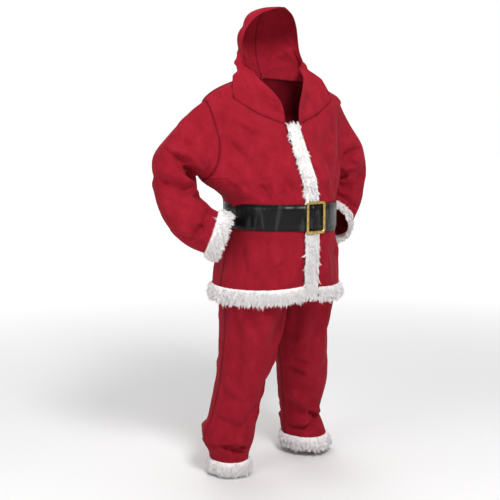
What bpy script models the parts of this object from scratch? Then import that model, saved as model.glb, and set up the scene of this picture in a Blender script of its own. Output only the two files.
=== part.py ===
"""Hooded red suit with white fur trim, worn with the hands on the hips and left hollow.

The jacket, the hood, the sleeves and the trousers are thin cloth walls. Each wall is laid out on a
surface that is worked out from a table of sections, and each piece ends a seam's width short of the
next. Heights in the tables are above the floor. The origin is where the collar rests on the shoulders.
The wearer's front faces -Y and the wearer's left is +X.
"""
import math
from collections import namedtuple

import bmesh
import bpy
import numpy as np

CLOTH = 0.002             # thickness of the red cloth
SEAM = 0.0003             # gap between pieces that are sewn or that lie on each other
FUR_PILE = 0.012          # how far the fur stands off the cloth
HELD_HEIGHT = 1.50        # height of the origin above the floor

HEM_HEIGHT = 0.708        # lower edge of the jacket's cloth
HEM_FUR_DROP = 0.006      # how far the hem's fur hangs below the cloth
HEM_FUR_TALL = 0.060
RIGHT_HEM_RISE = 0.042    # how much the right front is pulled up at its edge, and the left front
LEFT_HEM_RISE = 0.022
UNDERARM_HEIGHT = 1.163
SHOULDER_HEIGHT = 1.454
NECK_SIDE_HEIGHT = 1.534
NECK_FRONT_HEIGHT = 1.360
NECK_BACK_HEIGHT = 1.548
ARMHOLE_FRONT = 23.0      # degrees that the armhole is cut into the front, and into the back
ARMHOLE_BACK = 30.0

STRIP_ACROSS = (0.024, -0.007, -0.038)    # the fur strip's edge, middle and edge, which is the left front's
STRIP_FLAT = 0.0025       # its thickness where the belt presses it down
LAP = 0.0024              # how far the left front lies over the right one

BELT_LOW = 0.9775
BELT_TALL = 0.097
BELT_THICK = 0.003
TAIL_THICK = 0.0025
TAIL_DROOP = 0.012
BUCKLE_WIDE = 0.086
BUCKLE_TALL = 0.120
BUCKLE_BAR = 0.010
BUCKLE_THICK = 0.0045
CENTRE_BAR_WIDE = 0.008
CENTRE_BAR_THICK = 0.0034
WAIST_LOW = 1.000
WAIST_TALL = 0.040
WAISTBAND_THICK = 0.004

FRONT_COLUMNS = 11        # grid steps round each front, and round half of the back
BACK_COLUMNS = 9
SKIRT_ROWS = 8            # grid steps from the hem to the belt, under the belt, and up to the underarm
BELT_ROWS = 4
CHEST_ROWS = 4
ARMHOLE_ROWS = 10
SHOULDER_STEPS = 5        # of a panel's columns, how many end on the shoulder seam
SLEEVE_ROWS = 20
HOOD_ROWS = 12
LEG_COLUMNS = 7

SIDES = (("right", -1.0), ("left", 1.0))

# Rings of the jacket. The sleeves pull the cloth out at the sides, by each side's wing.
Ring = namedtuple("Ring", "height half_width front back middle right_wing left_wing")
JACKET = (
    Ring(0.690, 0.262, -0.203, 0.272, 0.034, 0.000, 0.000),
    Ring(0.790, 0.256, -0.205, 0.270, 0.033, 0.000, 0.000),
    Ring(0.890, 0.239, -0.210, 0.252, 0.021, 0.000, 0.000),
    Ring(0.960, 0.215, -0.210, 0.235, 0.013, 0.000, 0.000),
    Ring(1.086, 0.215, -0.210, 0.235, 0.013, 0.000, 0.000),
    Ring(1.115, 0.238, -0.200, 0.236, 0.026, 0.024, 0.002),
    Ring(1.163, 0.266, -0.190, 0.238, 0.048, 0.066, 0.006),
    Ring(1.213, 0.280, -0.162, 0.240, 0.050, 0.054, 0.004),
    Ring(1.283, 0.292, -0.124, 0.236, 0.050, 0.034, 0.000),
    Ring(1.370, 0.306, -0.078, 0.226, 0.055, 0.018, 0.000),
    Ring(1.420, 0.316, -0.058, 0.208, 0.048, 0.007, 0.000),
    Ring(1.454, 0.322, -0.050, 0.180, 0.042, 0.000, 0.000),
    Ring(1.490, 0.284, -0.048, 0.165, 0.040, 0.000, 0.000),
    Ring(1.520, 0.222, -0.048, 0.148, 0.038, 0.000, 0.000),
    Ring(1.538, 0.172, -0.050, 0.138, 0.038, 0.000, 0.000),
    Ring(1.560, 0.130, -0.050, 0.130, 0.036, 0.000, 0.000),
)

# Soft folds in the jacket's body, from one turn and height to another. A ridge has a negative depth.
Fold = namedtuple("Fold", "turn height end_turn end_height width depth")
JACKET_FOLDS = (
    Fold(-52, 1.46, -12, 1.31, 0.030, 0.008),
    Fold(-50, 1.40, -8, 1.20, 0.028, -0.007),
    Fold(-58, 1.32, -14, 1.10, 0.026, 0.009),
    Fold(-66, 1.24, -38, 1.11, 0.022, 0.007),
    Fold(20, 1.30, 48, 1.14, 0.028, 0.006),
    Fold(60, 1.25, 38, 1.12, 0.022, 0.006),
    Fold(128, 1.40, 160, 1.16, 0.032, 0.008),
    Fold(150, 1.34, 172, 1.12, 0.026, -0.005),
    Fold(228, 1.42, 204, 1.14, 0.030, 0.009),
    Fold(240, 1.27, 214, 1.11, 0.024, 0.006),
    Fold(-40, 0.95, -52, 0.78, 0.022, 0.007),
    Fold(-15, 0.94, -20, 0.80, 0.018, 0.004),
    Fold(30, 0.95, 38, 0.78, 0.022, 0.006),
    Fold(-78, 0.95, -88, 0.80, 0.020, 0.005),
    Fold(75, 0.95, 84, 0.79, 0.020, 0.006),
    Fold(120, 0.95, 112, 0.78, 0.024, 0.008),
    Fold(165, 0.95, 168, 0.77, 0.026, 0.009),
    Fold(205, 0.95, 198, 0.79, 0.022, 0.006),
    Fold(238, 0.95, 246, 0.78, 0.024, 0.007),
)

# Sections of a sleeve, for an arm on the +X side: the points of its outer and inner edge and its half
# width, front to back.
Cuff = namedtuple("Cuff", "step outer_x outer_y outer_z inner_x inner_y inner_z half_width")
RIGHT_SLEEVE = (
    Cuff(0, 0.318, 0.042, 1.454, 0.332, 0.048, 1.163, 0.098),
    Cuff(1, 0.390, 0.085, 1.383, 0.344, 0.050, 1.176, 0.103),
    Cuff(2, 0.438, 0.115, 1.320, 0.353, 0.046, 1.174, 0.100),
    Cuff(3, 0.484, 0.150, 1.235, 0.354, 0.038, 1.158, 0.094),
    Cuff(4, 0.474, 0.145, 1.127, 0.364, 0.028, 1.130, 0.092),
    Cuff(5, 0.469, 0.115, 1.040, 0.358, 0.010, 1.104, 0.090),
    Cuff(6, 0.436, 0.080, 0.972, 0.342, -0.010, 1.078, 0.088),
    Cuff(7, 0.395, 0.050, 0.922, 0.326, -0.022, 1.060, 0.084),
    Cuff(8, 0.342, 0.020, 0.895, 0.307, -0.030, 1.050, 0.081),
)
LEFT_SLEEVE = (
    Cuff(0, 0.318, 0.042, 1.454, 0.272, 0.048, 1.163, 0.098),
    Cuff(1, 0.388, 0.085, 1.383, 0.290, 0.052, 1.176, 0.103),
    Cuff(2, 0.434, 0.115, 1.320, 0.302, 0.050, 1.174, 0.100),
    Cuff(3, 0.476, 0.150, 1.232, 0.308, 0.046, 1.158, 0.096),
    Cuff(4, 0.462, 0.155, 1.130, 0.318, 0.042, 1.130, 0.093),
    Cuff(5, 0.434, 0.142, 1.045, 0.318, 0.036, 1.104, 0.090),
    Cuff(6, 0.397, 0.130, 0.975, 0.308, 0.042, 1.083, 0.088),
    Cuff(7, 0.364, 0.102, 0.930, 0.298, 0.045, 1.070, 0.084),
    Cuff(8, 0.335, 0.062, 0.909, 0.281, 0.052, 1.061, 0.081),
)
CUFF_FUR_LONG = 0.054

# Folds pressed into both sleeves, from one point to another.
Crease = namedtuple("Crease", "x y z end_x end_y end_z width depth")
SLEEVE_FOLDS = (
    Crease(0.355, 0.030, 1.165, 0.450, 0.030, 1.250, 0.016, 0.012),
    Crease(0.350, 0.020, 1.150, 0.460, 0.040, 1.190, 0.020, -0.006),
    Crease(0.360, 0.000, 1.120, 0.470, 0.060, 1.120, 0.018, 0.008),
    Crease(0.335, 0.120, 1.180, 0.420, 0.160, 1.230, 0.018, 0.010),
    Crease(0.360, 0.110, 1.110, 0.450, 0.150, 1.110, 0.018, 0.008),
    Crease(0.340, -0.040, 1.060, 0.400, -0.020, 0.960, 0.014, 0.007),
    Crease(0.330, 0.060, 1.050, 0.400, 0.080, 0.960, 0.014, 0.006),
)

Leg = namedtuple("Leg", "height centre middle half_width front back")
RIGHT_LEG = (
    Leg(0.050, 0.200, 0.070, 0.074, 0.090, 0.084),
    Leg(0.085, 0.200, 0.070, 0.078, 0.092, 0.086),
    Leg(0.125, 0.203, 0.070, 0.102, 0.104, 0.102),
    Leg(0.180, 0.202, 0.070, 0.112, 0.114, 0.112),
    Leg(0.235, 0.183, 0.068, 0.098, 0.110, 0.106),
    Leg(0.337, 0.160, 0.060, 0.096, 0.116, 0.110),
    Leg(0.436, 0.142, 0.045, 0.109, 0.130, 0.122),
    Leg(0.588, 0.123, 0.032, 0.119, 0.162, 0.142),
    Leg(0.720, 0.1195, 0.030, 0.1195, 0.180, 0.165),
)
LEFT_LEG = (
    Leg(0.034, 0.213, 0.115, 0.097, 0.123, 0.090),
    Leg(0.110, 0.200, 0.122, 0.090, 0.112, 0.094),
    Leg(0.140, 0.196, 0.124, 0.087, 0.106, 0.098),
    Leg(0.189, 0.188, 0.120, 0.082, 0.096, 0.092),
    Leg(0.239, 0.186, 0.112, 0.092, 0.106, 0.102),
    Leg(0.322, 0.180, 0.096, 0.103, 0.120, 0.114),
    Leg(0.436, 0.160, 0.075, 0.110, 0.126, 0.120),
    Leg(0.519, 0.142, 0.060, 0.116, 0.132, 0.130),
    Leg(0.620, 0.122, 0.042, 0.118, 0.160, 0.146),
    Leg(0.720, 0.1195, 0.030, 0.1195, 0.180, 0.165),
)
Hip = namedtuple("Hip", "height half_width front back middle")
HIPS = (
    Hip(0.720, 0.239, -0.150, 0.195, 0.030),
    Hip(0.800, 0.231, -0.165, 0.205, 0.026),
    Hip(0.890, 0.222, -0.190, 0.215, 0.018),
    Hip(0.960, 0.2106, -0.2056, 0.2306, 0.013),
    Hip(1.060, 0.2106, -0.2056, 0.2306, 0.013),
)
CROTCH_LOW = 0.720
CROTCH_HIGH = 0.900
LEG_FUR_LOW = {-1.0: 0.016, 1.0: 0.034}
LEG_FUR_TALL = 0.050
LEG_FUR_DROP = 0.008      # how far the fur reaches below the trousers' cloth
LEG_GAP = 0.0006

# Folds in the trousers: which leg, and from one angle and height to another.
LegFold = namedtuple("LegFold", "side angle height end_angle end_height width depth")
LEG_FOLDS = (
    LegFold(-1, 80, 0.150, -60, 0.165, 0.014, 0.008),
    LegFold(-1, 60, 0.225, -40, 0.200, 0.018, 0.006),
    LegFold(-1, 20, 0.700, -50, 0.520, 0.026, 0.009),
    LegFold(-1, 70, 0.640, 30, 0.420, 0.026, 0.006),
    LegFold(-1, 160, 0.500, 110, 0.380, 0.026, 0.008),
    LegFold(-1, 240, 0.180, 120, 0.160, 0.016, 0.009),
    LegFold(1, 70, 0.150, -50, 0.180, 0.016, 0.010),
    LegFold(1, -20, 0.215, -80, 0.250, 0.016, 0.007),
    LegFold(1, 30, 0.680, -50, 0.480, 0.026, 0.008),
    LegFold(1, 60, 0.560, 20, 0.360, 0.026, 0.006),
    LegFold(1, 200, 0.480, 120, 0.360, 0.028, 0.008),
    LegFold(1, 230, 0.170, 130, 0.190, 0.016, 0.009),
)

# The hood's front rim and centre seam, from the neckline up to where they meet.
Edge = namedtuple("Edge", "step rim_x rim_y rim_z seam_y seam_z")
HOOD = (
    Edge(0, 0.032, -0.084, 1.364, 0.136, 1.550),
    Edge(1, 0.078, -0.076, 1.430, 0.156, 1.590),
    Edge(2, 0.116, -0.050, 1.488, 0.176, 1.630),
    Edge(3, 0.136, 0.004, 1.546, 0.180, 1.690),
    Edge(4, 0.140, 0.052, 1.605, 0.172, 1.745),
    Edge(5, 0.138, 0.074, 1.665, 0.146, 1.786),
    Edge(6, 0.122, 0.064, 1.725, 0.104, 1.808),
    Edge(7, 0.086, 0.034, 1.778, 0.054, 1.812),
    Edge(8, 0.012, -0.004, 1.806, -0.000, 1.808),
)


def clear_scene():
    for thing in list(bpy.data.objects):
        bpy.data.objects.remove(thing, do_unlink=True)


def finish_material(name, colour, roughness, metallic=0.0):
    """A plain principled material, made once and shared by the pieces that are cut from it."""
    material = bpy.data.materials.get(name)
    if material is None:
        material = bpy.data.materials.new(name)
        material.use_nodes = True
        shader = material.node_tree.nodes["Principled BSDF"]
        shader.inputs["Base Color"].default_value = (*colour, 1.0)
        shader.inputs["Roughness"].default_value = roughness
        shader.inputs["Metallic"].default_value = metallic
    return material


def red_cloth():
    return finish_material("red_cloth", (0.40, 0.014, 0.030), 0.85)


def white_fur():
    return finish_material("white_fur", (0.90, 0.89, 0.88), 0.95)


def black_vinyl():
    return finish_material("black_vinyl", (0.012, 0.012, 0.014), 0.25)


def gold_metal():
    return finish_material("gold_metal", (0.78, 0.55, 0.18), 0.30, 1.0)


class Profile:
    """A table of sections, read at any place on smooth curves that never pass beyond its rows."""

    def __init__(self, rows):
        self.names = rows[0]._fields[1:]
        self.places = [row[0] for row in rows]
        self.columns = np.array([row[1:] for row in rows], dtype=float)
        steps = np.diff(self.places)
        secants = np.diff(self.columns, axis=0) / steps[:, None]
        self.slopes = np.zeros_like(self.columns)
        self.slopes[0] = secants[0]
        self.slopes[-1] = secants[-1]
        before, after = secants[:-1], secants[1:]
        same = before * after > 0
        total = np.where(same, before + after, 1.0)
        self.slopes[1:-1] = np.where(same, 2 * before * after / total, 0.0)

    def __call__(self, place):
        place = min(max(place, self.places[0]), self.places[-1])
        row = int(np.searchsorted(self.places, place, side="right")) - 1
        row = min(max(row, 0), len(self.places) - 2)
        step = self.places[row + 1] - self.places[row]
        t = (place - self.places[row]) / step
        here, there = self.columns[row], self.columns[row + 1]
        rise, fall = self.slopes[row] * step, self.slopes[row + 1] * step
        return ((2 * t ** 3 - 3 * t ** 2 + 1) * here + (t ** 3 - 2 * t ** 2 + t) * rise
                + (3 * t ** 2 - 2 * t ** 3) * there + (t ** 3 - t ** 2) * fall)


def ease(low, high, value):
    """0 below low, 1 above high, and a smooth rise between."""
    t = min(max((value - low) / (high - low), 0.0), 1.0)
    return t * t * (3 - 2 * t)


def unit(vector):
    return vector / max(float(np.linalg.norm(vector)), 1e-9)


def pressed(point, folds):
    """Depth at a point of folds given as rows of start, end, width and depth."""
    start, end = folds[:, 0:3], folds[:, 3:6]
    run = end - start
    along = np.clip(((point - start) * run).sum(axis=1) / (run ** 2).sum(axis=1), 0.0, 1.0)
    away = np.linalg.norm(point - start - run * along[:, None], axis=1)
    return float((folds[:, 7] * np.exp(-(away / folds[:, 6]) ** 2)).sum())


def lifted(surface, u, v, out):
    """A point on a surface, moved out along the surface's normal."""
    point = surface(u, v)
    across = surface(u + 0.4, v) - surface(u - 0.4, v)
    up = surface(u, v + 0.002) - surface(u, v - 0.002)
    return point + unit(np.cross(across, up)) * out


def grid_normals(grid, closed):
    """Normals of a grid of points, rows along the piece and columns round it."""
    if closed:
        across = np.roll(grid, -1, axis=1) - np.roll(grid, 1, axis=1)
    else:
        across = np.gradient(grid, axis=1)
    normals = np.cross(across, np.gradient(grid, axis=0))
    length = np.linalg.norm(normals, axis=2, keepdims=True)
    return normals / np.maximum(length, 1e-12)


def make_object(name, points, faces, material):
    """A named closed solid, from points in the wearer's frame with heights above the floor."""
    mesh = bpy.data.meshes.new(name)
    placed = [(float(p[0]), float(p[1]), float(p[2]) - HELD_HEIGHT) for p in points]
    mesh.from_pydata(placed, [], faces)
    shell = bmesh.new()
    shell.from_mesh(mesh)
    bmesh.ops.recalc_face_normals(shell, faces=shell.faces)
    shell.to_mesh(mesh)
    shell.free()
    mesh.materials.append(material)
    built = bpy.data.objects.new(name, mesh)
    bpy.context.scene.collection.objects.link(built)
    mesh.shade_smooth()
    return built


def cloth_wall(name, outer, inner, material, closed=False):
    """A wall between two grids of points, outer and inner, closed round its edges."""
    rows, columns = outer.shape[:2]
    outer_of = np.arange(rows * columns).reshape(rows, columns)
    inner_of = outer_of + rows * columns
    faces = []

    def strip(a, b, c, d):
        faces.append((a, b, c))
        faces.append((a, c, d))

    steps = columns if closed else columns - 1
    for row in range(rows - 1):
        for column in range(steps):
            right = (column + 1) % columns
            strip(outer_of[row, column], outer_of[row, right],
                  outer_of[row + 1, right], outer_of[row + 1, column])
            strip(inner_of[row + 1, column], inner_of[row + 1, right],
                  inner_of[row, right], inner_of[row, column])
    for column in range(steps):
        right = (column + 1) % columns
        strip(inner_of[0, column], inner_of[0, right], outer_of[0, right], outer_of[0, column])
        strip(outer_of[-1, column], outer_of[-1, right], inner_of[-1, right], inner_of[-1, column])
    if not closed:
        for row in range(rows - 1):
            strip(inner_of[row + 1, 0], inner_of[row, 0], outer_of[row, 0], outer_of[row + 1, 0])
            strip(inner_of[row, -1], inner_of[row + 1, -1], outer_of[row + 1, -1], outer_of[row, -1])
    points = np.concatenate([outer.reshape(-1, 3), inner.reshape(-1, 3)])
    faces = [tuple(int(index) for index in face) for face in faces]
    return make_object(name, points, faces, material)


def loop_solid(name, sections, material, closed):
    """A solid drawn through closed sections of equal count, capped at its ends unless it is a ring."""
    sections = np.array(sections)
    count, sides = sections.shape[:2]
    faces = []
    for section in range(count if closed else count - 1):
        after = (section + 1) % count
        for side in range(sides):
            turn = (side + 1) % sides
            a, b = section * sides + side, section * sides + turn
            c, d = after * sides + turn, after * sides + side
            faces.append((a, b, c))
            faces.append((a, c, d))
    if not closed:
        faces.append(tuple(reversed(range(sides))))
        faces.append(tuple((count - 1) * sides + side for side in range(sides)))
    return make_object(name, sections.reshape(-1, 3), faces, material)


jacket_profile = Profile(JACKET)
sleeve_profiles = {-1.0: Profile(RIGHT_SLEEVE), 1.0: Profile(LEFT_SLEEVE)}
hood_profile = Profile(HOOD)
hips_profile = Profile(HIPS)
leg_profiles = {-1.0: Profile(RIGHT_LEG), 1.0: Profile(LEFT_LEG)}


def jacket_ring(turn, height):
    """A point on the jacket's smooth body: turn 0 is the centre front and 90 the left side."""
    half_width, front, back, middle, right_wing, left_wing = jacket_profile(height)
    angle = math.radians(turn)
    lean = math.cos(angle)
    depth = middle - front if lean > 0 else back - middle
    side = math.sin(angle)
    wing = left_wing * max(side, 0.0) ** 6 - right_wing * max(-side, 0.0) ** 6
    return np.array([half_width * side + wing, middle - depth * lean, height])


def laid_folds(rows):
    """The jacket's folds as straight runs between points of its smooth body."""
    return np.array([[*jacket_ring(row.turn, row.height), *jacket_ring(row.end_turn, row.end_height),
                      row.width, row.depth] for row in rows])


jacket_folds = laid_folds(JACKET_FOLDS)


def jacket_body(turn, height):
    """The jacket's body with its folds, which die away under the belt and under the front's fur."""
    point = jacket_ring(turn, height)
    above = ease(BELT_LOW + BELT_TALL, BELT_LOW + BELT_TALL + 0.05, height)
    below = ease(0.0, 0.06, BELT_LOW - TAIL_DROOP - height)
    below *= ease(HEM_HEIGHT + HEM_FUR_TALL, HEM_HEIGHT + HEM_FUR_TALL + 0.05, height)
    beside = ease(0.045, 0.085, abs(point[0])) if point[1] < 0 else 1.0
    depth = pressed(point, jacket_folds) * (above + below) * beside
    if depth == 0:
        return point
    middle = np.array([0.0, jacket_profile(height)[3], height])
    return point - unit(point - middle) * depth


def side_gap(height):
    """Half of the seam's width at the side, in degrees."""
    front, middle = jacket_profile(height)[1], jacket_profile(height)[3]
    return math.degrees(SEAM / 2 / (middle - front))


def turn_at(across, height):
    """The turn at which the front of the jacket is a given distance across."""
    return math.degrees(math.asin(across / jacket_profile(height)[0]))


def armhole(step):
    """Turn away from the side seam and height of the armhole, from the underarm up."""
    angle = math.pi * (1 - step / ARMHOLE_ROWS)
    middle = (UNDERARM_HEIGHT + SHOULDER_HEIGHT) / 2
    tall = (SHOULDER_HEIGHT - UNDERARM_HEIGHT) / 2
    return abs(math.sin(angle)) ** 0.8, middle + tall * math.cos(angle)


def body_heights():
    """Row heights from the hem to just below the underarm, with rows just outside the belt's edges."""
    belt_under = BELT_LOW - TAIL_DROOP - 0.003
    belt_over = BELT_LOW + BELT_TALL + 0.009
    skirt = np.linspace(HEM_HEIGHT, belt_under, SKIRT_ROWS + 1)
    waist = np.linspace(belt_under, belt_over, BELT_ROWS + 1)[1:]
    chest = np.linspace(belt_over, UNDERARM_HEIGHT, CHEST_ROWS + 1)[1:-1]
    return [float(height) for height in (*skirt, *waist, *chest)]


def column_turns(columns, side, fixed, centre, height):
    """Turns of a row's columns, from its side turn to its centre edge.

    The last columns of a front run straight up at fixed distances across, under the fur strip.
    """
    if not fixed:
        return [side + (centre - side) * column / columns for column in range(columns + 1)]
    last = [turn_at(across, height) for across in fixed]
    free = columns + 1 - len(last)
    return [side + (last[0] - side) * column / free for column in range(free)] + last


def half_panel(columns, fixed, centre_top, cut, direction, rise=0.0):
    """Turns and heights of a panel's grid, from its armhole side to its centre edge.

    direction is -1 for a front, whose armhole is cut towards the centre front, and 1 for the back.
    """
    def side_turn(height):
        return 90 + direction * side_gap(height)

    def centre_turn(height):
        return turn_at(fixed[-1], height) if fixed else 180.0

    def tilted(start, end):
        line = []
        for turn in column_turns(columns, start[0], fixed, end[0], end[1]):
            share = (turn - start[0]) / (end[0] - start[0])
            line.append((turn, start[1] + (end[1] - start[1]) * share))
        return line

    rows = []
    for height in body_heights():
        pulled = rise * ease(-0.85, -HEM_HEIGHT, -height)
        line = tilted((side_turn(height), height), (centre_turn(height), height))
        rows.append([(turn, level + pulled * (column / columns) ** 4)
                     for column, (turn, level) in enumerate(line)])
    straight = tilted((side_turn(SHOULDER_HEIGHT), SHOULDER_HEIGHT), (centre_turn(centre_top), centre_top))
    seam = top_line(columns, side_turn, fixed, centre_turn, centre_top)
    for step in range(ARMHOLE_ROWS + 1):
        progress = step / ARMHOLE_ROWS
        bite, height = armhole(step)
        centre_height = UNDERARM_HEIGHT + (centre_top - UNDERARM_HEIGHT) * progress
        line = tilted((side_turn(height) + direction * cut * bite, height),
                      (centre_turn(centre_height), centre_height))
        pull = progress ** 3
        rows.append([(place[0] + pull * (top[0] - flat[0]), place[1] + pull * (top[1] - flat[1]))
                     for place, top, flat in zip(line, seam, straight)])
    return rows


def top_line(columns, side_turn, fixed, centre_turn, centre_top):
    """The panel's top edge: up the shoulder seam to the neck, and then along the neckline."""
    line = []
    for column in range(SHOULDER_STEPS):
        height = SHOULDER_HEIGHT + (NECK_SIDE_HEIGHT - SHOULDER_HEIGHT) * column / SHOULDER_STEPS
        line.append((side_turn(height), height))
    start, end = side_turn(NECK_SIDE_HEIGHT), centre_turn(centre_top)
    for turn in column_turns(columns - SHOULDER_STEPS, start, fixed, end, centre_top):
        share = (turn - start) / (end - start)
        dip = (NECK_SIDE_HEIGHT - centre_top) * (1 - math.cos(share * math.pi)) / 2
        line.append((turn, NECK_SIDE_HEIGHT - dip))
    return line


def lap(turn):
    """How far the left front is lifted where it lies over the right front."""
    return LAP * (1 - ease(9.0, 22.0, turn))


RIGHT_ACROSS = tuple(-across for across in reversed(STRIP_ACROSS))
front_left_grid = half_panel(FRONT_COLUMNS, STRIP_ACROSS, NECK_FRONT_HEIGHT, ARMHOLE_FRONT, -1,
                             LEFT_HEM_RISE)
front_right_grid = half_panel(FRONT_COLUMNS, RIGHT_ACROSS, NECK_FRONT_HEIGHT, ARMHOLE_FRONT, -1,
                              RIGHT_HEM_RISE)
half_back_grid = half_panel(BACK_COLUMNS, (), NECK_BACK_HEIGHT, ARMHOLE_BACK, 1)
ARMHOLE_START = len(body_heights())


def body_points(grid, out, side=1.0):
    """Points of a grid of turns and heights, moved out by a function of the turn."""
    return np.array([[lifted(jacket_body, side * turn, height, out(side * turn)) for turn, height in row]
                     for row in grid])


def build_jacket_fronts():
    outer = body_points(front_right_grid, lambda turn: 0.0, side=-1.0)
    inner = body_points(front_right_grid, lambda turn: -CLOTH, side=-1.0)
    cloth_wall("jacket_front_right", outer, inner, red_cloth())
    outer = body_points(front_left_grid, lap)
    inner = body_points(front_left_grid, lambda turn: lap(turn) - CLOTH)
    cloth_wall("jacket_front_left", outer, inner, red_cloth())


def whole_back_grid():
    """The back's grid from the left side round to the right side."""
    return [row + [(360 - turn, height) for turn, height in reversed(row[:-1])] for row in half_back_grid]


def build_jacket_back():
    grid = whole_back_grid()
    outer = body_points(grid, lambda turn: 0.0)
    inner = body_points(grid, lambda turn: -CLOTH)
    cloth_wall("jacket_back", outer, inner, red_cloth())


def armhole_loop(side):
    """Turns and heights round an armhole, from the shoulder down the front and up the back."""
    front = front_left_grid if side > 0 else front_right_grid
    down = [row[0] for row in reversed(front[ARMHOLE_START:])]
    up = [row[0] for row in half_back_grid[ARMHOLE_START + 1:-1]]
    middle = [((down[0][0] + 90) / 2 + 0.04, down[0][1])]
    return middle + down[1:-1] + [((down[-1][0] + 90) / 2 + 0.04, down[-1][1])] + up


def sleeve_outer(side):
    """The sleeve's outer grid of points, ring by ring from the armhole to the cuff."""
    profile = sleeve_profiles[side]
    loop = armhole_loop(side)
    count = len(loop)
    edge, normals = [], []
    for turn, height in loop:
        here = jacket_body(side * turn, height)
        edge.append(here * (side, 1, 1))
        normals.append((lifted(jacket_body, side * turn, height, 1.0) - here) * (side, 1, 1))
    edge, normals = np.array(edge), np.array(normals)
    hole = edge.mean(axis=0) - edge
    into = hole - normals * (hole * normals).sum(axis=1)[:, None]
    into /= np.linalg.norm(into, axis=1)[:, None]
    start = edge + (normals + into) * SEAM
    rings = []
    for row in range(SLEEVE_ROWS + 1):
        place = (RIGHT_SLEEVE[-1].step * row) / SLEEVE_ROWS
        values = profile(place)
        ahead, behind = profile(place + 0.05), profile(place - 0.05)
        travel = (ahead[0:3] + ahead[3:6] - behind[0:3] - behind[3:6]) / 2
        outer, inner, half_width = values[0:3], values[3:6], values[6]
        forward = unit(np.cross(outer - inner, travel))
        if forward[1] > 0:
            forward = -forward
        middle, radius = (outer + inner) / 2, (outer - inner) / 2
        angles = [2 * math.pi * index / count for index in range(count)]
        rings.append([middle + radius * math.cos(a) + forward * half_width * math.sin(a)
                      for a in angles])
    rings = np.array(rings)
    offset = start - rings[0]
    for row in range(SLEEVE_ROWS + 1):
        rings[row] += offset * (1 - ease(0.0, 0.30, row / SLEEVE_ROWS))
    folds = np.array([[*fold] for fold in SLEEVE_FOLDS])
    folded = rings.copy()
    outward = grid_normals(rings, closed=True)
    towards = rings - rings.mean(axis=1, keepdims=True)
    outward *= np.sign((outward * towards).sum(axis=2, keepdims=True).mean())
    for row in range(1, SLEEVE_ROWS):
        fade = min(row / 3, (SLEEVE_ROWS - row) / 2, 1.0)
        for column in range(count):
            folded[row, column] -= outward[row, column] * pressed(rings[row, column], folds) * fade
    return folded, into


def build_sleeves():
    for name, side in SIDES:
        outer, into = sleeve_outer(side)
        outward = grid_normals(outer, closed=True)
        towards = outer - outer.mean(axis=1, keepdims=True)
        outward *= np.sign((outward * towards).sum(axis=2, keepdims=True).mean())
        inner = outer - outward * CLOTH
        inner[0] = outer[0] + into * CLOTH
        outer, inner = outer * (side, 1, 1), inner * (side, 1, 1)
        cloth_wall(f"sleeve_{name}", outer, inner, red_cloth(), closed=True)


def fur_section(start, along, outward, length, pile, thin):
    """A rounded section of fur that lies a seam's width off the cloth and stands up to its pile."""
    shape = ((0.0, thin), (0.06, 0.45), (0.22, 0.85), (0.50, 1.0), (0.80, 0.85), (0.96, 0.45), (1.0, thin))
    tops = [start + along * length * share + outward * (SEAM + pile * tall) for share, tall in shape]
    return tops[::-1] + [start + outward * SEAM, start + along * length / 2 + outward * SEAM,
                         start + along * length + outward * SEAM]


def build_cuff_furs():
    """Fur round each sleeve's end, over its last 54 mm, which the cloth runs inside."""
    for name, side in SIDES:
        outer, _ = sleeve_outer(side)
        ring = outer[-1]
        middle = ring.mean(axis=0)
        quarter = len(ring) // 4
        axis = unit(np.cross(ring[0] - middle, ring[quarter] - middle))
        axis *= np.sign(np.dot(axis, middle - outer[-3].mean(axis=0)))
        sections = []
        for point in ring:
            outward = point - middle
            outward = unit(outward - axis * np.dot(outward, axis))
            start = point + axis * SEAM
            sections.append([place * (side, 1, 1) for place in
                             cuff_section(start, axis, outward)])
        loop_solid(f"cuff_fur_{name}", sections, white_fur(), closed=True)


def cuff_section(start, along, outward):
    """The cuff's fur and its turned cloth: it goes on from the sleeve's end with a thick wall."""
    shape = ((0.0, 0.0), (0.02, 0.35), (0.18, 0.80), (0.50, 1.0), (0.82, 0.80), (0.98, 0.35), (1.0, -0.1))
    tops = [start + along * CUFF_FUR_LONG * share + outward * FUR_PILE * tall for share, tall in shape]
    under = [start + along * CUFF_FUR_LONG * share - outward * CLOTH for share in (0.98, 0.5, 0.0)]
    return tops + under


def hem_columns():
    """Turn and height of each column of the hem, from the strip round the back to the strip again."""
    right = [(-turn, height) for turn, height in reversed(front_right_grid[0][:-2])]
    right[0] = (right[0][0] - 0.3, right[0][1])
    back = [(turn - 360, height) for turn, height in reversed(whole_back_grid()[0])]
    left = [(turn - 360, height) for turn, height in front_left_grid[0][:-2]]
    left[-1] = (left[-1][0] + 0.3, left[-1][1])
    return right[:-1] + back + left[1:]


def build_hem_fur():
    sections = []
    for turn, height in hem_columns():
        low = height - HEM_FUR_DROP
        lift = lap(turn + 360) if turn < -270 else 0.0
        base = lifted(jacket_body, turn, low, lift)
        top = lifted(jacket_body, turn, low + HEM_FUR_TALL, lift)
        outward = unit(lifted(jacket_body, turn, low + HEM_FUR_TALL / 2, 1.0)
                       - jacket_body(turn, low + HEM_FUR_TALL / 2))
        along = unit(top - base)
        sections.append(fur_section(base, along, outward, HEM_FUR_TALL, FUR_PILE, 0.1))
    loop_solid("hem_fur", sections, white_fur(), closed=False)


def strip_pile(height):
    """The front strip's thickness, pressed flat by the belt."""
    top = BELT_LOW + BELT_TALL
    above = ease(top + 0.026, top + 0.050, height)
    below = ease(TAIL_DROOP + 0.006, TAIL_DROOP + 0.040, BELT_LOW - height)
    return STRIP_FLAT + (FUR_PILE * 0.8 - STRIP_FLAT) * (above + below)


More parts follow.
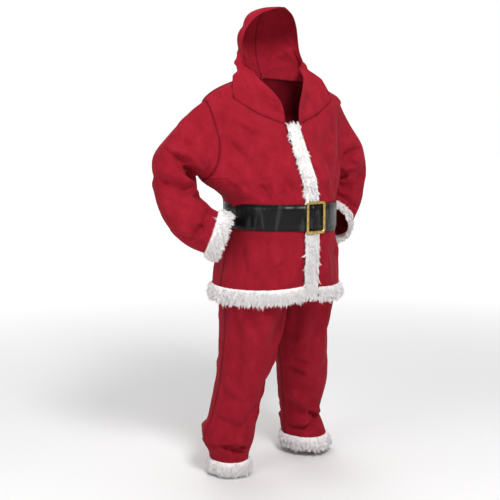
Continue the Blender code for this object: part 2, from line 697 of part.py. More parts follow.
def build_front_fur():
    """The strip of fur on the left front's edge, from the neckline to the hem."""
    shape = ((0.0, 0.0), (1.0, 0.0), (2.0, 0.0), (2.0, 0.15), (1.76, 0.75), (1.0, 1.0), (0.24, 0.75),
             (0.0, 0.15))
    sections = []
    for places in front_left_grid:
        section = []
        for across, tall in shape:
            column = -3 + min(int(across), 1)
            share = across - min(int(across), 1)
            near, far = places[column], places[column + 1]
            turn = near[0] + (far[0] - near[0]) * share
            height = near[1] + (far[1] - near[1]) * share
            section.append(lifted(jacket_body, turn, height, LAP + SEAM + strip_pile(height) * tall))
        sections.append(section)
    loop_solid("front_fur", sections, white_fur(), closed=False)


def belt_columns(extra=()):
    """The jacket's column turns under the belt, all the way round, with any others that are asked for."""
    row = SKIRT_ROWS + 2
    turns = [-turn for turn, _ in front_right_grid[row]] + [turn for turn, _ in front_left_grid[row]]
    turns += [(turn + 180) % 360 - 180 for turn, _ in whole_back_grid()[row]]
    kept = []
    for turn in sorted(turns + list(extra)):
        if not kept or turn - kept[-1] > 0.3:
            kept.append(turn)
    return kept


def belt_seat(turn):
    """How far the belt's inner face stands off the jacket, over what lies beneath it."""
    wrapped = (turn + 180) % 360 - 180
    over_tail = ease(-19.0, -11.0, wrapped) * (1 - ease(76.0, 88.0, wrapped))
    over_strip = ease(-19.0, -11.0, wrapped) * (1 - ease(7.0, 15.0, wrapped))
    over_bar = ease(-4.2, -1.9, wrapped) * (1 - ease(1.9, 4.2, wrapped))
    tail = SEAM + TAIL_THICK
    strip = LAP + SEAM + STRIP_FLAT - tail
    bar = CENTRE_BAR_THICK + SEAM
    return SEAM + over_tail * tail + over_strip * strip + over_bar * bar + lap_under(wrapped)


def lap_under(turn):
    """The left front's lift under the belt, beyond the strip."""
    return lap(turn) * ease(7.0, 15.0, turn) if turn > 0 else 0.0


BELT_TURNS = belt_columns((-24, -19, -15, -11, -4.2, -3, -1.9, 0, 1.9, 3, 4.2, 15, 22, 9, 68.5, 76, 88))


def build_belt():
    outer, inner = [], []
    rows = 4
    for row in range(rows + 1):
        height = BELT_LOW + BELT_TALL * row / rows
        outer.append([lifted(jacket_body, turn, height, belt_seat(turn) + BELT_THICK)
                      for turn in BELT_TURNS])
        inner.append([lifted(jacket_body, turn, height, belt_seat(turn)) for turn in BELT_TURNS])
    cloth_wall("belt_strap", np.array(outer), np.array(inner), black_vinyl(), closed=True)


def build_belt_tail():
    """The belt's loose end, which lies under the strap on the wearer's left and droops below it."""
    outer, inner = [], []
    rows = 4
    turns = [turn for turn in BELT_TURNS if 8.9 < turn < 68.6]
    for row in range(rows + 1):
        share = row / rows
        outer_line, inner_line = [], []
        for turn in turns:
            droop = TAIL_DROOP * (0.6 + 0.4 * math.sin(math.pi * (turn - 9.0) / 60.0))
            height = BELT_LOW - droop + (BELT_TALL - 0.004 + droop * 0.2) * share
            lift = lap(turn) + SEAM
            inner_line.append(lifted(jacket_body, turn, height, lift))
            outer_line.append(lifted(jacket_body, turn, height, lift + TAIL_THICK))
        outer.append(outer_line)
        inner.append(inner_line)
    cloth_wall("belt_tail", np.array(outer), np.array(inner), black_vinyl())


def build_buckle():
    """A rectangular frame in front of the belt, with a centre bar that the belt passes over."""
    middle = BELT_LOW + BELT_TALL / 2
    front = jacket_body(0, middle)[1]
    side_turn = turn_at(BUCKLE_WIDE / 2 - BUCKLE_BAR, middle)
    rear = lifted(jacket_body, side_turn, middle, belt_seat(-side_turn) + BELT_THICK + SEAM)[1]
    rear = min(rear, front - LAP - 2 * SEAM - STRIP_FLAT - BELT_THICK - SEAM)
    bar_rear = front - LAP - 2 * SEAM - STRIP_FLAT

    def frame(half_wide, half_tall, corner, y, steps=3):
        points = []
        for quarter in range(4):
            sign_x = (1, -1, -1, 1)[quarter]
            sign_z = (1, 1, -1, -1)[quarter]
            for step in range(steps + 1):
                angle = math.pi / 2 * (quarter + step / steps)
                points.append((sign_x * (half_wide - corner) + corner * math.cos(angle), y,
                               middle + sign_z * (half_tall - corner) + corner * math.sin(angle)))
        return points

    half_wide, half_tall = BUCKLE_WIDE / 2, BUCKLE_TALL / 2
    ease_edge = 0.0012
    rings = [
        frame(half_wide, half_tall, 0.012, rear),
        frame(half_wide, half_tall, 0.012, rear - BUCKLE_THICK + ease_edge),
        frame(half_wide - ease_edge, half_tall - ease_edge, 0.011, rear - BUCKLE_THICK),
        frame(half_wide - BUCKLE_BAR + ease_edge, half_tall - BUCKLE_BAR + ease_edge, 0.0045,
              rear - BUCKLE_THICK),
        frame(half_wide - BUCKLE_BAR, half_tall - BUCKLE_BAR, 0.004, rear - BUCKLE_THICK + ease_edge),
        frame(half_wide - BUCKLE_BAR, half_tall - BUCKLE_BAR, 0.004, rear),
    ]
    sections = np.array(rings).transpose(1, 0, 2)
    buckle = loop_solid("buckle_frame", sections[::-1], gold_metal(), closed=True)
    half_bar = half_tall - BUCKLE_BAR / 2
    corners = [(x, y, middle - half_bar) for x, y in (
        (-CENTRE_BAR_WIDE / 2, bar_rear), (CENTRE_BAR_WIDE / 2, bar_rear),
        (CENTRE_BAR_WIDE / 2, bar_rear - CENTRE_BAR_THICK),
        (-CENTRE_BAR_WIDE / 2, bar_rear - CENTRE_BAR_THICK))]
    upper = [(x, y, middle + half_bar) for x, y, _ in corners]
    bar = loop_solid("buckle_bar", [corners[::-1], upper[::-1]], gold_metal(), closed=False)
    bar.hide_render = True
    bar.display_type = "WIRE"
    join = buckle.modifiers.new("centre_bar", "BOOLEAN")
    join.operation = "UNION"
    join.object = bar


def leg_surface(side):
    """The trousers' outer surface on one side: angle 90 is the outer seam and 0 the front."""
    def point(angle, height):
        turn = math.radians(angle)
        lean = math.cos(turn)
        hip_width, hip_front, hip_back, hip_middle = hips_profile(height)
        if height >= CROTCH_LOW:
            split = 1 - ease(CROTCH_LOW, CROTCH_HIGH, height)
            centre = hip_width / 2 * split
            half_width = hip_width - centre
            middle = hip_middle
            front, back = middle - hip_front, hip_back - middle
        else:
            centre, middle, half_width, front, back = leg_profiles[side](height)
        depth = front if lean > 0 else back
        across = centre + half_width * math.sin(turn)
        return np.array([across, middle - depth * lean, height])
    return point


def folded_leg(side):
    """The same surface with its folds."""
    smooth = leg_surface(side)
    rows = [row for row in LEG_FOLDS if row.side == side]
    runs = [np.linspace((row.angle, row.height), (row.end_angle, row.end_height), 5) for row in rows]
    folds = np.array([[*smooth(*run[step]), *smooth(*run[step + 1]), row.width, row.depth]
                      for row, run in zip(rows, runs) for step in range(4)])

    def point(angle, height):
        here = smooth(angle, height)
        start, end = folds[:, 0:3], folds[:, 3:6]
        path = end - start
        along = np.clip(((here - start) * path).sum(axis=1) / (path ** 2).sum(axis=1), 0.0, 1.0)
        away = np.linalg.norm(here - start - path * along[:, None], axis=1)
        each = (folds[:, 7] * np.exp(-(away / folds[:, 6]) ** 2)).reshape(len(rows), 4)
        depth = sum(row[np.argmax(np.abs(row))] for row in each) * ease(0.09, 0.13, height)
        centre = smooth(angle + 180, height)
        return here + unit(centre - here) * depth
    return point


def inner_angle(side, height):
    """The angle at which a panel ends: on the centre plane above the crotch, and at the inseam below."""
    if height < CROTCH_LOW:
        return -90.0
    hip_width = hips_profile(height)[0]
    split = 1 - ease(CROTCH_LOW, CROTCH_HIGH, height)
    centre = hip_width / 2 * split
    reach = (LEG_GAP - centre) / (hip_width - centre)
    return math.degrees(math.asin(max(reach, -1.0)))


def leg_heights(side):
    """Row heights from the trousers' hem to their waist, closer together at the ankle and crotch."""
    cuff = LEG_FUR_LOW[side] + LEG_FUR_DROP
    ankle = [cuff] + list(np.linspace(cuff + LEG_FUR_TALL - 0.004, 0.26, 8))
    calf = list(np.linspace(0.26, CROTCH_LOW - 0.001, 9))[1:]
    seat = list(np.linspace(CROTCH_LOW, WAIST_LOW - SEAM, 8))
    return ankle + calf + seat


def leg_rows(side, direction):
    """Angles and heights of a front panel, direction 1, or a back panel, direction -1."""
    rows = []
    for height in leg_heights(side):
        last = inner_angle(side, height)
        gap = math.degrees(SEAM / 2 / 0.1)
        first = 90.0 - gap
        last = last + gap if last <= -89 else last
        line = []
        for column in range(LEG_COLUMNS + 1):
            angle = first + (last - first) * column / LEG_COLUMNS
            line.append((angle if direction > 0 else 180 - angle, height))
        rows.append(line[::direction])
    return rows


def leg_point(side, angle, height, out):
    """A point of the trousers moved out, for the wearer's right leg mirrored to -X."""
    surface = folded_leg_surfaces[side]
    place = surface(angle, height)
    across = surface(angle + 1, height) - surface(angle - 1, height)
    up = surface(angle, height + 0.003) - surface(angle, height - 0.003)
    normal = unit(np.cross(across, up))
    return (place + normal * out) * (side, 1, 1)


folded_leg_surfaces = {side: folded_leg(side) for _, side in SIDES}


def build_trousers():
    for name, side in SIDES:
        for part, direction in (("front", 1), ("back", -1)):
            grid = leg_rows(side, direction)
            outer = np.array([[leg_point(side, angle, height, 0.0) for angle, height in row] for row in grid])
            inner = np.array([[leg_point(side, angle, height, -CLOTH) for angle, height in row]
                              for row in grid])
            for points in (outer, inner):
                keep = points[..., 0] * side
                points[..., 0] = np.maximum(keep, SEAM / 2) * side
            cloth_wall(f"trouser_{part}_{name}", outer, inner, red_cloth())


def build_waistband():
    """The gathered band at the top of the trousers, which the belt holds against the jacket."""
    outer, inner = [], []
    turns = belt_columns()
    for row in range(3):
        height = WAIST_LOW + WAIST_TALL * row / 2
        outer.append([lifted(jacket_ring, turn, height, -CLOTH - SEAM) for turn in turns])
        inner.append([lifted(jacket_ring, turn, height, -CLOTH - SEAM - WAISTBAND_THICK) for turn in turns])
    cloth_wall("waistband", np.array(outer), np.array(inner), red_cloth(), closed=True)


def build_leg_furs():
    """Fur round each trouser leg's end."""
    for name, side in SIDES:
        low, high = leg_heights(side)[:2]
        sections = []
        for angle, _ in leg_rows(side, 1)[0] + leg_rows(side, -1)[0]:
            base = leg_point(side, angle, low, 0.0)
            along = unit(leg_point(side, angle, high, 0.0) - base)
            outward = leg_point(side, angle, low, 1.0) - base
            outward = unit(outward - along * np.dot(outward, along))
            section = fur_section(base - along * LEG_FUR_DROP, along, outward, LEG_FUR_TALL, FUR_PILE, 0.1)
            sections.append(section[:-2] + section[-1:])
        loop_solid(f"leg_fur_{name}", sections, white_fur(), closed=True)


def neckline(side):
    """The jacket's neckline points from the centre front to the centre back."""
    front = front_left_grid if side > 0 else front_right_grid
    out = lap if side > 0 else (lambda turn: 0.0)
    points = []
    for turn, height in reversed(front[-1][SHOULDER_STEPS:-2]):
        points.append((turn, height, out(turn)))
    joined = (90.0, NECK_SIDE_HEIGHT, 0.0)
    points[-1] = joined
    for turn, height in half_back_grid[-1][SHOULDER_STEPS + 1:]:
        points.append((turn, height, 0.0))
    return points


def build_hood():
    """Two halves that rise from the neckline, open at the front and seamed over the crown."""
    for name, side in SIDES:
        edge, proud = [
            np.array([lifted(jacket_body, side * turn, height, out + away) * (side, 1, 1)
                      for turn, height, out in neckline(side)])
            for away in (0.0, 1.0)]
        normals = proud - edge
        inward = np.cross(np.gradient(edge, axis=0), normals)
        inward /= np.linalg.norm(inward, axis=1)[:, None]
        inward *= np.sign(inward[:, 2].mean())
        base = edge + normals * SEAM + inward * 2 * SEAM
        under = base - normals * CLOTH
        count = len(base)
        rows = []
        for row in range(HOOD_ROWS + 1):
            place = HOOD[-1].step * row / HOOD_ROWS
            rim_x, rim_y, rim_z, seam_y, seam_z = hood_profile(place)
            line = []
            for column in range(count):
                angle = math.pi / 2 * column / (count - 1)
                line.append((rim_x * math.cos(angle) ** 0.8,
                             rim_y + (seam_y - rim_y) * math.sin(angle),
                             rim_z + (seam_z - rim_z) * math.sin(angle)))
            rows.append(line)
        rows = np.array(rows)
        drift = base - rows[0]
        for row in range(HOOD_ROWS + 1):
            freed = ease(0.0, 0.55, row / HOOD_ROWS)
            shifted = rows[row] + drift * (1 - freed)
            shifted[:, 0] = base[:, 0] * (1 - freed) + rows[row][:, 0] * freed
            rows[row] = shifted
        rows[..., 0] = np.maximum(rows[..., 0], SEAM / 2)
        outward = grid_normals(rows, closed=False)
        towards = rows - np.array([0.0, 0.05, 1.60])
        outward *= np.sign((outward * towards).sum(axis=2, keepdims=True).mean())
        outward[:, -1, 0] = 0.0
        inner = rows - outward * CLOTH
        inner[0] = under
        inner[..., 0] = np.maximum(inner[..., 0], SEAM / 2)
        rows, inner = rows * (side, 1, 1), inner * (side, 1, 1)
        cloth_wall(f"hood_{name}", rows, inner, red_cloth())


clear_scene()
build_jacket_back()
build_jacket_fronts()
build_sleeves()
build_hood()
build_hem_fur()
build_front_fur()
build_cuff_furs()
build_trousers()
build_waistband()
build_leg_furs()
build_belt()
build_belt_tail()
build_buckle()
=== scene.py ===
import math
from collections import namedtuple

import bmesh
import bpy
import numpy as np
from mathutils import Matrix, Vector, noise
from mathutils.bvhtree import BVHTree
from mathutils.kdtree import KDTree


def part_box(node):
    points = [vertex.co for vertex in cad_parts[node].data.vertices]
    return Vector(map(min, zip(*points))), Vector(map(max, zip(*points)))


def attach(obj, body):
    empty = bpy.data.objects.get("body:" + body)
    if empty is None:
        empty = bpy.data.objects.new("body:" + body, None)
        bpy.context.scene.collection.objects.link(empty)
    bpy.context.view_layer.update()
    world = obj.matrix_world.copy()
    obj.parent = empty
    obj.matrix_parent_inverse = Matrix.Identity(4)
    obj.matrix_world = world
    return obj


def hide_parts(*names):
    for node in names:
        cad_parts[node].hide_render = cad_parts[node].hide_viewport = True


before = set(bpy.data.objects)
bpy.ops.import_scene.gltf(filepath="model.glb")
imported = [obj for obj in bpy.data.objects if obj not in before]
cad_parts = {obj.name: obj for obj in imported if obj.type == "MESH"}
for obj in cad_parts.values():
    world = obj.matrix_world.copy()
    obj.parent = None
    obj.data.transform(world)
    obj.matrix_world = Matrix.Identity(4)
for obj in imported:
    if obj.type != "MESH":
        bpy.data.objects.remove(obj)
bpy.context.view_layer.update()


# The back and the two fronts of the jacket. They are cut from red brushed knit with a short nap, and
# sewn at the sides and shoulders. Each is a thin shell on its panel's form, and the bent sleeves pull
# long soft creases into it.

FLOOR = -1.50             # height of the floor, measured from inside the collar
NAP_RED = (0.295, 0.0102, 0.0225)
NAP_DARK = (0.212, 0.0068, 0.0155)
NAP_LIGHT = (0.370, 0.0175, 0.0345)
RUMPLE_DEEP = 0.0020      # the slight unevenness of cloth that has been worn
RUMPLE_PER_METRE = 13.0
FINER_RUMPLE = 2.3        # a second unevenness is this many times finer, and shallower
FINER_SHARE = 0.5
SEAM_DEEP = 0.0021        # how far the cloth draws in along a seam
SEAM_WIDE = 0.0050
SEAM_SHADE_REACH = 0.0034        # half the width of the line of painted shade along a seam, in which two pieces meet
# at a seam the cloth's colour is scaled down to this share, as painted shade
SEAM_SHADE = 0.42
CREASE_WIDER = 1.50       # the tables' widths and depths are scaled by these
RIDGE_WIDER = 2.0
CREASE_DEEPER = 1.85
CREASE_END_WIDE = 0.50    # a crease's width at its ends, and how much it gains by its middle
CREASE_MIDDLE_WIDER = 0.65
STEEP_SIDE = 0.80
EASY_SIDE = 1.45
END_FADE = 4.5            # a crease fades over its length divided by this, and keeps a little at its ends
END_KEPT = 0.25
RIDGE_AWAY = 1.9          # the low ridge beside a trough, in the trough's widths and depth
RIDGE_WIDE = 1.1
RIDGE_HIGH = 0.38
REACH_IN = 0.060          # a crease ends this far inside the form, so it leaves the far side alone
REACH_FADE = 0.030
FREE_AWAY = 0.030         # the cloth is free to crease from about this far off what holds it
HELD_FLAT = 0.003         # and is flat this near to it
SEAM_HOLDS = 0.7          # a seam holds it a little further than other things do
SHARP_ANGLE = math.radians(50)
FLAT_ANGLE = math.radians(30)
SQUARE_ANGLE = math.radians(80)
LOOK_AWAY = 0.08          # nothing further off than this holds the cloth
FAR_AWAY = 1.0
SEAM_REACH = 0.007        # a rim this near to a finished shell is sewn to it
SEAM_LAP = 0.0008         # and goes this far into it
ON_THE_RIM = 0.999

Crease = namedtuple("Crease", "x y z end_x end_y end_z width depth bow")


def node_tree(name):
    """A new material, with its nodes and links."""
    material = bpy.data.materials.new(name)
    material.use_nodes = True
    return material, material.node_tree.nodes, material.node_tree.links


def ramp_between(nodes, links, source, low, high, colours):
    """Spreads a value between two limits over some colours, evenly placed."""
    ramp = nodes.new("ShaderNodeValToRGB")
    places = np.linspace(low, high, len(colours))
    while len(ramp.color_ramp.elements) < len(colours):
        ramp.color_ramp.elements.new(0.5)
    for element, place, colour in zip(ramp.color_ramp.elements, places, colours):
        element.position = float(place)
        element.color = (*colour, 1.0)
    links.new(source, ramp.inputs["Fac"])
    return ramp.outputs["Color"]


def noise_at(nodes, links, scale, detail=2.0, stretch=(1.0, 1.0, 1.0), distortion=0.0):
    """Noise in the piece's own place, in cycles to the metre."""
    place = nodes.new("ShaderNodeTexCoord")
    mapping = nodes.new("ShaderNodeMapping")
    mapping.inputs["Scale"].default_value = stretch
    field = nodes.new("ShaderNodeTexNoise")
    field.inputs["Scale"].default_value = scale
    field.inputs["Detail"].default_value = detail
    field.inputs["Distortion"].default_value = distortion
    links.new(place.outputs["Object"], mapping.inputs["Vector"])
    links.new(mapping.outputs["Vector"], field.inputs["Vector"])
    return field.outputs["Fac"]


def bump_from(nodes, links, height, strength, distance, below=None):
    """Raises the surface by a height in metres, over another bump if one is given."""
    bump = nodes.new("ShaderNodeBump")
    bump.inputs["Strength"].default_value = strength
    bump.inputs["Distance"].default_value = distance
    links.new(height, bump.inputs["Height"])
    if below is not None:
        links.new(below, bump.inputs["Normal"])
    return bump.outputs["Normal"]


def brushed_cloth():
    """Red cloth with a raised nap, lighter where it is stroked one way, and darkened along its seams by
    painted shade.
    """
    material, nodes, links = node_tree("brushed_red_cloth")
    shader = nodes["Principled BSDF"]
    shader.inputs["Roughness"].default_value = 0.88
    shader.inputs["Specular IOR Level"].default_value = 0.06
    shader.inputs["Sheen Weight"].default_value = 0.05
    shader.inputs["Sheen Roughness"].default_value = 0.40
    shader.inputs["Sheen Tint"].default_value = (1.0, 0.42, 0.45, 1.0)
    stroke = noise_at(nodes, links, 17.0, 6.0, (1.5, 1.5, 0.8), 0.6)
    fleck = noise_at(nodes, links, 260.0, 3.0)
    both = nodes.new("ShaderNodeMix")
    both.inputs["Factor"].default_value = 0.50
    links.new(stroke, both.inputs["A"])
    links.new(fleck, both.inputs["B"])
    colour = ramp_between(nodes, links, both.outputs["Result"], 0.28, 0.74,
                          (NAP_DARK, NAP_RED, NAP_LIGHT))
    # Painted shade: the seam attribute darkens the colour along each seam, for the shadow in the groove
    # where two pieces meet.
    seam = nodes.new("ShaderNodeAttribute")
    seam.attribute_name = "seam"
    shade = nodes.new("ShaderNodeMapRange")
    shade.inputs["To Min"].default_value = 1.0
    shade.inputs["To Max"].default_value = SEAM_SHADE
    shaded = nodes.new("ShaderNodeVectorMath")
    shaded.operation = "SCALE"
    links.new(seam.outputs["Fac"], shade.inputs["Value"])
    links.new(colour, shaded.inputs[0])
    links.new(shade.outputs["Result"], shaded.inputs["Scale"])
    links.new(shaded.outputs["Vector"], shader.inputs["Base Color"])
    rumple = noise_at(nodes, links, 34.0, 4.0, (1.0, 1.0, 0.7), 0.5)
    rumple = bump_from(nodes, links, rumple, 0.40, 0.0024)
    nap = bump_from(nodes, links, noise_at(nodes, links, 1100.0, 3.0), 0.40, 0.0005, rumple)
    links.new(nap, shader.inputs["Normal"])
    return material


def crease_depths(points, creases, spine):
    """How far each point is pressed in by creases, whose planes pass through the line inside the piece.

    A crease is steeper on one side, has a low ridge beside it, and dies away at both ends.
    """
    depth = np.zeros(len(points))
    for crease in creases:
        start = np.array([crease.x, crease.y, crease.z + FLOOR])
        run = np.array([crease.end_x, crease.end_y, crease.end_z + FLOOR]) - start
        length = np.linalg.norm(run)
        run /= length
        middle = start + run * length / 2
        outward = middle - nearest_on(spine, middle[None])[0]
        outward -= run * (outward @ run)
        outward /= np.linalg.norm(outward)
        along = (points - start) @ run / length
        inside = np.clip(along, 0.0, 1.0)
        bulge = np.sin(math.pi * inside)
        away = (points - start) @ np.cross(run, outward) - crease.bow * bulge
        near_side = np.clip(((points - middle) @ outward + REACH_IN) / REACH_FADE, 0.0, 1.0)
        wide = crease.width * (CREASE_WIDER if crease.depth > 0 else RIDGE_WIDER)
        wide *= CREASE_END_WIDE + CREASE_MIDDLE_WIDER * bulge
        ends = np.exp(-((along - inside) * length / crease.width) ** 2)
        ends *= np.clip(np.minimum(inside, 1.0 - inside) * END_FADE + END_KEPT, 0.0, 1.0)
        trough = np.exp(-(away / (wide * np.where(away < 0, STEEP_SIDE, EASY_SIDE))) ** 2)
        ridge = np.exp(-((away + RIDGE_AWAY * wide) / (RIDGE_WIDE * wide)) ** 2)
        depth += crease.depth * CREASE_DEEPER * near_side * ends * (trough - RIDGE_HIGH * ridge)
    return depth


def nearest_on(line, points):
    """The nearest point of a line of points to each of many."""
    best = np.full(len(points), np.inf)
    found = np.zeros_like(points)
    for start, end in zip(line[:-1], line[1:]):
        run = end - start
        along = np.clip((points - start) @ run / (run @ run), 0.0, 1.0)
        place = start + run * along[:, None]
        away = np.linalg.norm(points - place, axis=1)
        nearer = away < best
        best[nearer] = away[nearer]
        found[nearer] = place[nearer]
    return found


def welded_form(node_name):
    """A merged copy of a node's solid, in four-sided faces, with its rims marked and kept sharp."""
    form = bmesh.new()
    form.from_mesh(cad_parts[node_name].data)
    bmesh.ops.remove_doubles(form, verts=form.verts, dist=1e-5)
    bmesh.ops.join_triangles(form, faces=form.faces, cmp_seam=False, cmp_sharp=False, cmp_uvs=False,
                             cmp_vcols=False, cmp_materials=False, angle_face_threshold=FLAT_ANGLE,
                             angle_shape_threshold=SQUARE_ANGLE)
    crease = form.edges.layers.float.new("crease_edge")
    rim = form.verts.layers.float.new("rim")
    for edge in form.edges:
        if len(edge.link_faces) == 2 and edge.calc_face_angle() > SHARP_ANGLE:
            edge[crease] = 1.0
            for vertex in edge.verts:
                vertex[rim] = 1.0
    return form


def finished_mesh(name, form, levels):
    """Subdivides a form smoothly and returns its object, with the finer mesh in place of the form."""
    coarse = bpy.data.meshes.new(name + "_form")
    form.to_mesh(coarse)
    form.free()
    piece = bpy.data.objects.new(name, coarse)
    bpy.context.scene.collection.objects.link(piece)
    smooth = piece.modifiers.new("smooth", "SUBSURF")
    smooth.levels = levels
    smooth.render_levels = levels
    smooth.boundary_smooth = "PRESERVE_CORNERS"
    fine = bpy.data.meshes.new_from_object(piece.evaluated_get(bpy.context.evaluated_depsgraph_get()))
    piece.modifiers.clear()
    piece.data = fine
    fine.name = name
    bpy.data.meshes.remove(coarse)
    fine.attributes.remove(fine.attributes["custom_normal"])
    fine.shade_smooth()
    return piece


def mesh_points(mesh):
    points = np.zeros(len(mesh.vertices) * 3)
    mesh.vertices.foreach_get("co", points)
    return points.reshape(-1, 3)


def set_points(mesh, points):
    mesh.vertices.foreach_set("co", points.ravel())
    mesh.update()


def distance_to(node_names, points):
    """How far each point is from the nearest of some of the solids."""
    nearest = np.full(len(points), FAR_AWAY)
    for node_name in node_names:
        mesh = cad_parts[node_name].data
        mesh.calc_loop_triangles()
        tree = BVHTree.FromPolygons([vertex.co for vertex in mesh.vertices],
                                    [tuple(triangle.vertices) for triangle in mesh.loop_triangles])
        reach = [tree.find_nearest(Vector(point), LOOK_AWAY)[3] for point in points.tolist()]
        nearest = np.minimum(nearest, [FAR_AWAY if away is None else away for away in reach])
    return nearest


def drawn_to_seams(mesh, points, sewn_to):
    """Draws a shell's rim on to the finished shells that it is sewn to, so that the seams are closed."""
    rim = np.zeros(len(points))
    mesh.attributes["rim"].data.foreach_get("value", rim)
    trees = [finished_shells[name] for name in sewn_to if name in finished_shells]
    for number in np.flatnonzero(rim > ON_THE_RIM).tolist():
        point = Vector(points[number])
        found = [tree.find_nearest(point, SEAM_REACH) for tree in trees]
        found = [hit for hit in found if hit[0] is not None]
        if found:
            place, normal, _, _ = min(found, key=lambda hit: hit[3])
            if (point - place).dot(normal) > 0:
                points[number] = place - normal * SEAM_LAP
    return points


finished_shells = {}


def creased_cloth(node_name, spine, creases, sewn_to=(), held_by=(), levels=3):
    """The shell of one cut piece: its solid's form, smoothed, and creased towards a line inside it.

    It lies flat by what holds it, draws in a little along its seams, and meets the shells it is sewn to.
    """
    piece = finished_mesh(node_name + "_cloth", welded_form(node_name), levels)
    points = mesh_points(piece.data)
    line = np.array([[x, y, z + FLOOR] for x, y, z in spine])
    outward = points - nearest_on(line, points)
    outward /= np.maximum(np.linalg.norm(outward, axis=1), 1e-9)[:, None]
    depth = crease_depths(points, creases, line)
    places = [Vector(point) * RUMPLE_PER_METRE for point in points.tolist()]
    depth += RUMPLE_DEEP * np.array([noise.noise(place) + FINER_SHARE * noise.noise(place * FINER_RUMPLE)
                                     for place in places])
    seam = distance_to(sewn_to, points)
    # The seam attribute is painted shade, strongest where a piece meets those it is sewn to.
    piece.data.attributes.new("seam", "FLOAT", "POINT")
    piece.data.attributes["seam"].data.foreach_set("value", np.exp(-(seam / SEAM_SHADE_REACH) ** 2))
    free = np.minimum(seam * SEAM_HOLDS, distance_to(held_by, points))
    depth *= np.clip((free - HELD_FLAT) / FREE_AWAY, 0.0, 1.0)
    depth += SEAM_DEEP * np.exp(-(seam / SEAM_WIDE) ** 2)
    points = drawn_to_seams(piece.data, points - outward * depth[:, None], sewn_to)
    set_points(piece.data, points)
    faces = [tuple(face.vertices) for face in piece.data.polygons]
    finished_shells[node_name] = BVHTree.FromPolygons(points.tolist(), faces)
    piece.data.set_sharp_from_angle(angle=SHARP_ANGLE)
    piece.data.materials.clear()
    piece.data.materials.append(red_cloth)
    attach(piece, "root")
    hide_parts(node_name)
    return piece


